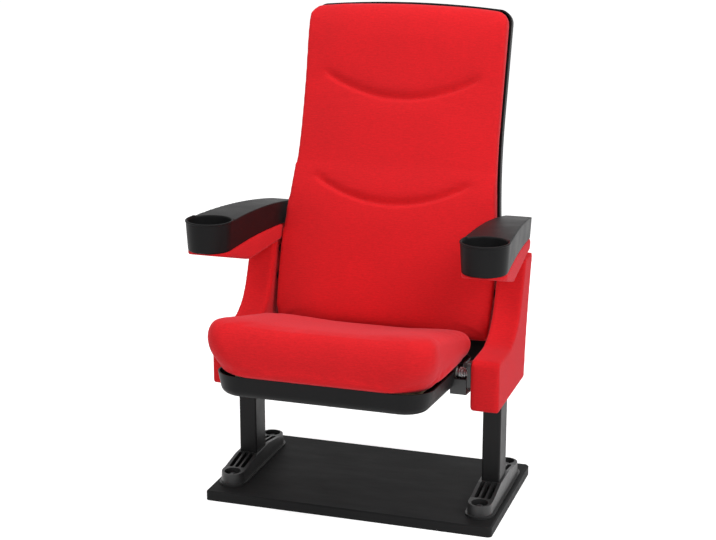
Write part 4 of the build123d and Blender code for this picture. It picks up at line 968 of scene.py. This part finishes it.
def arm_body_cover():
    """The padded body under the armrest, right hand."""
    outline = drawn_in(arm_outline(), BODY_IN_MM)
    block = prism("right_arm_upholstery", (outline, BODY_UNDER_MM), (outline, ARM_TOP_MM), "XY")
    rear = ARM_REAR_MM - BODY_ENDS_IN_MM
    front = CUP_Y_MM - CUP_FOOT_MM + BODY_ENDS_IN_MM
    lower = filleted(
        [(front, ARM_JOIN_MM - BODY_ENDS_IN_MM), (BODY_KNEE_MM, BODY_UNDER_MM), (rear, BODY_UNDER_MM),
         (rear, ARM_JOIN_REAR_MM)],
        [0, BODY_KNEE_RADIUS_MM, BODY_REAR_RADIUS_MM, 0])
    join = fall((ARM_LEVEL_MM, ARM_JOIN_MM), (rear, ARM_JOIN_REAR_MM))[::-1]
    cut_to_side_view(block, lower + join[1:] + [(front, ARM_JOIN_MM)])
    remeshed(block, BODY_CELL_MM * MM, 4)
    return refined(grown(block, COVER_MM))


def ringed(name, rings):
    """A closed mesh over rings of as many points each, in metres, with a cap at both ends."""
    count = len(rings[0])
    points = [point for ring in rings for point in ring]
    faces = [list(range(count)), list(range(len(points) - count, len(points)))[::-1]]
    for low in range(0, len(points) - count, count):
        for index in range(count):
            after = (index + 1) % count
            faces.append([low + index, low + count + index, low + count + after, low + after])
    return facing_out(add_piece(name, mesh_from(name, points, faces)))


def cup_bead():
    """The raised rim round the cup's front, a rounded bead whose ends stand up a little beside the arm."""
    reach = math.degrees(math.asin(BEAD_END_MM / CUP_TOP_MM))
    angles = np.radians(np.linspace(-180 - reach, reach, BEAD_RINGS))
    section = np.array(arc((0, 0), 1.0, 0, 330, 12))
    rings = []
    for index, angle in enumerate(angles):
        from_end = min(index, BEAD_RINGS - 1 - index)
        taper = min(1.0, 0.4 + 0.2 * from_end)
        lump = 1 + 0.35 * math.exp(-((from_end - 4) / 3) ** 2)
        size = BEAD_MM * taper * lump
        radius = CUP_TOP_MM - BEAD_IN_MM + section[:, 0] * size
        x = CUP_X_MM + radius * math.cos(angle)
        y = CUP_Y_MM + radius * math.sin(angle)
        z = ARM_TOP_MM + BEAD_UP_MM + section[:, 1] * size
        rings.append(np.stack([x, y, z], axis=1) * MM)
    return ringed("cup_bead", rings)


def joined(piece, other):
    """Two meshes in one piece. The other is used up."""
    shell = bmesh.new()
    shell.from_mesh(piece.data)
    shell.from_mesh(other.data)
    shell.to_mesh(piece.data)
    shell.free()
    bpy.data.objects.remove(other)
    return piece


def armrest_moulding():
    """The black armrest with its cup, right hand."""
    top = arm_outline()
    draft = ARM_DRAFT_MM / (ARM_TOP_MM - ARM_JOIN_MM)
    low = drawn_in(top, draft * (ARM_TOP_MM - ARM_JOIN_REAR_MM))
    piece = prism("right_armrest_moulding", (low, ARM_JOIN_REAR_MM), (top, ARM_TOP_MM), "XY")
    cut_to_side_view(piece, arm_side(CUP_Y_MM - CUP_TOP_MM - 2 * PAST_MM, ARM_REAR_MM + PAST_MM))
    middle = (CUP_X_MM, CUP_Y_MM)
    bore_top = arc(middle, CUP_TOP_MM - CUP_WALL_MM, 0, 360, CUP_SIDES + 1)[:-1]
    bore_foot = arc(middle, CUP_FOOT_MM - CUP_WALL_MM, 0, 360, CUP_SIDES + 1)[:-1]
    bore = prism("bore", (bore_foot, ARM_JOIN_MM + CUP_WALL_MM), (bore_top, ARM_TOP_MM + PAST_MM), "XY")
    carved(piece, bore, "DIFFERENCE")
    remeshed(piece, ARM_CELL_MM * MM, 2)
    return joined(grown(piece, ARM_OUT_MM), cup_bead())


# ---- operators --------------------------------------------------------------------------------------
class SEAT_OT_upholster_seat(bpy.types.Operator):
    """Makes the seat cushion"""

    bl_idname = "cinema_seat.upholster_seat"
    bl_label = "Upholster the seat"

    def execute(self, context):
        seat_padding()
        return {"FINISHED"}


class SEAT_OT_upholster_back(bpy.types.Operator):
    """Makes the back cushion"""

    bl_idname = "cinema_seat.upholster_back"
    bl_label = "Upholster the back"

    def execute(self, context):
        for row in channel_stitches(back_padding()):
            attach(row, "frame")
        return {"FINISHED"}


class SEAT_OT_cover_panels(bpy.types.Operator):
    """Makes the covers of the two side panels"""

    bl_idname = "cinema_seat.cover_panels"
    bl_label = "Cover the side panels"

    def execute(self, context):
        cover_both_sides(panel_cover(), "panel_outer", "panel_inner")
        return {"FINISHED"}


class SEAT_OT_cover_arms(bpy.types.Operator):
    """Makes the padded bodies under the armrests"""

    bl_idname = "cinema_seat.cover_arms"
    bl_label = "Cover the arms"

    def execute(self, context):
        cover_both_sides(arm_body_cover(), "arm_body")
        return {"FINISHED"}


class SEAT_OT_mould_armrests(bpy.types.Operator):
    """Makes the armrests and the beads round their cups"""

    bl_idname = "cinema_seat.mould_armrests"
    bl_label = "Mould the armrests"

    def execute(self, context):
        right = armrest_moulding()
        for side, piece in (("right", right), ("left", mirrored(right))):
            dressed(piece, "moulded plastic", "frame", "black_plastic", f"{side}_armrest")
        return {"FINISHED"}


class SEAT_OT_finish_frame(bpy.types.Operator):
    """Gives the frame's own parts their finishes"""

    bl_idname = "cinema_seat.finish_frame"
    bl_label = "Finish the frame's parts"

    slots = {
        "red_fabric": "red fabric", "black_plastic": "moulded plastic", "black_steel": "painted steel",
        "black_castings": "painted casting", "zinc_steel": "zinc", "black_screws": "dark screws",
        "bearing_plastic": "bearing plastic", "rubber": "rubber", "plywood": "plywood",
        "base_board": "base laminate",
    }

    def execute(self, context):
        for part in frame["record"]["subparts"]:
            finish = finishes()[self.slots[part["material_slot"]]]
            for place in NODES[part["node"]].material_slots:
                place.material = finish
        return {"FINISHED"}


class SEAT_OT_set_stage(bpy.types.Operator):
    """Sets the floor, the lamps, the surroundings and the camera"""

    bl_idname = "cinema_seat.set_stage"
    bl_label = "Set the stage"

    # each lamp's setting, its width, where it hangs and what it points at
    lamps = (
        ("key", 2.2, (2.6, -1.1, 2.9), (0.1, 0, 0.45)),
        ("front", 2.6, (-0.6, -4.2, 2.4), (0, 0, 0.5)),
        ("above", 2.4, (-0.5, -0.4, 3.6), (0, 0, 0.4)),
    )
    floor_half = 40.0
    floor_glow = 0.7

    def execute(self, context):
        studio = context.scene.studio_settings
        self.lay_floor()
        for name, width, place, target in self.lamps:
            self.hang_lamp(name, getattr(studio, name), width, place, target)
        self.set_surroundings(studio.sky)
        self.set_camera(studio)
        context.scene.view_settings.view_transform = "Standard"
        return {"FINISHED"}

    def lay_floor(self):
        """A white floor that glows a little for the camera, so that it meets the white room."""
        half = self.floor_half
        points = [(-half, -half, 0), (half, -half, 0), (half, half, 0), (-half, half, 0)]
        floor = add_piece("floor", mesh_from("floor", points, [[0, 1, 2, 3]]))
        finish = new_finish("floor")
        path = finish.node("ShaderNodeLightPath", {}, {}, "Is Camera Ray")
        seen = path + path.part("Is Glossy Ray") + path.part("Is Transmission Ray")
        mottle = finish.noise(finish.place(), 3.0, 2.0, 0.5)
        tint = finish.blend(mottle, (0.8, 0.8, 0.8, 1), (0.83, 0.83, 0.83, 1))
        lit = finish.node("ShaderNodeBsdfPrincipled", {},
                          {"Base Color": tint, "Roughness": 0.9, "Specular IOR Level": 0.1})
        glow = finish.node("ShaderNodeEmission", {}, {"Color": (1, 1, 1, 1), "Strength": self.floor_glow})
        both = finish.node("ShaderNodeAddShader", {}, {0: lit, 1: glow})
        mixed = finish.node("ShaderNodeMixShader", {}, {0: seen.limited(0.0, 1.0), 1: lit, 2: both})
        finish.node("ShaderNodeOutputMaterial", {}, {"Surface": mixed})
        floor.data.materials.append(finish.holder)

    def hang_lamp(self, name, power, width, place, target):
        """A round lamp that points at its target."""
        lamp = bpy.data.lights.new(name, "AREA")
        lamp.shape = "DISK"
        lamp.size = width
        lamp.energy = power
        holder = bpy.data.objects.new(name, lamp)
        holder.location = place
        holder.rotation_euler = (Vector(target) - Vector(place)).to_track_quat("-Z", "Y").to_euler()
        bpy.context.scene.collection.objects.link(holder)

    def set_surroundings(self, strength):
        """A white room: bright where it is seen, dimmer where it lights the seat."""
        world = bpy.data.worlds.new("surroundings")
        bpy.context.scene.world = world
        finish = Finish(world)
        path = finish.node("ShaderNodeLightPath", {}, {}, "Is Camera Ray")
        seen = path + path.part("Is Glossy Ray") * 0.6 + path.part("Is Transmission Ray")
        room = finish.node("ShaderNodeBackground", {}, {"Color": (1, 1, 1, 1), "Strength": strength})
        white = finish.node("ShaderNodeBackground", {}, {"Color": (1, 1, 1, 1), "Strength": 1.0})
        mixed = finish.node("ShaderNodeMixShader", {}, {0: seen.limited(0.0, 1.0), 1: room, 2: white})
        finish.node("ShaderNodeOutputWorld", {}, {"Surface": mixed})

    def set_camera(self, studio):
        """The photograph's camera."""
        lens = bpy.data.cameras.new("camera")
        lens.sensor_width = 36.0
        lens.lens = studio.focal * lens.sensor_width
        lens.clip_end = 100.0
        camera = bpy.data.objects.new("camera", lens)
        camera.location = studio.camera_at
        camera.rotation_euler = (math.pi / 2 - studio.camera_pitch, 0, studio.camera_yaw)
        bpy.context.scene.collection.objects.link(camera)
        bpy.context.scene.camera = camera


class SEAT_PT_panel(bpy.types.Panel):
    """The seat's buttons and settings"""

    bl_idname = "SEAT_PT_panel"
    bl_label = "Cinema seat"
    bl_space_type = "VIEW_3D"
    bl_region_type = "UI"
    bl_category = "Cinema seat"

    def draw(self, context):
        for operator in OPERATORS:
            self.layout.operator(operator.bl_idname)
        for label in GROUPS:
            group = getattr(context.scene, label)
            for name in group.bl_rna.properties.keys():
                if name not in ("rna_type", "name"):
                    self.layout.prop(group, name)


GROUPS = {
    "upholstery_sizes": UpholsterySizes,
    "seat_colours": SeatColours,
    "studio_settings": StudioSettings,
}
OPERATORS = (
    SEAT_OT_set_stage, SEAT_OT_finish_frame, SEAT_OT_mould_armrests, SEAT_OT_cover_arms,
    SEAT_OT_cover_panels, SEAT_OT_upholster_back, SEAT_OT_upholster_seat,
)


def register():
    for group in (*GROUPS.values(), *OPERATORS, SEAT_PT_panel):
        bpy.utils.register_class(group)
    for name, group in GROUPS.items():
        setattr(bpy.types.Scene, name, bpy.props.PointerProperty(type=group))


def unregister():
    for name in GROUPS:
        delattr(bpy.types.Scene, name)
    for group in (SEAT_PT_panel, *OPERATORS[::-1], *GROUPS.values()):
        bpy.utils.unregister_class(group)


def main():
    register()
    for operator in OPERATORS:
        family, action = operator.bl_idname.split(".")
        getattr(getattr(bpy.ops, family), action)()


if __name__ == "__main__":
    main()
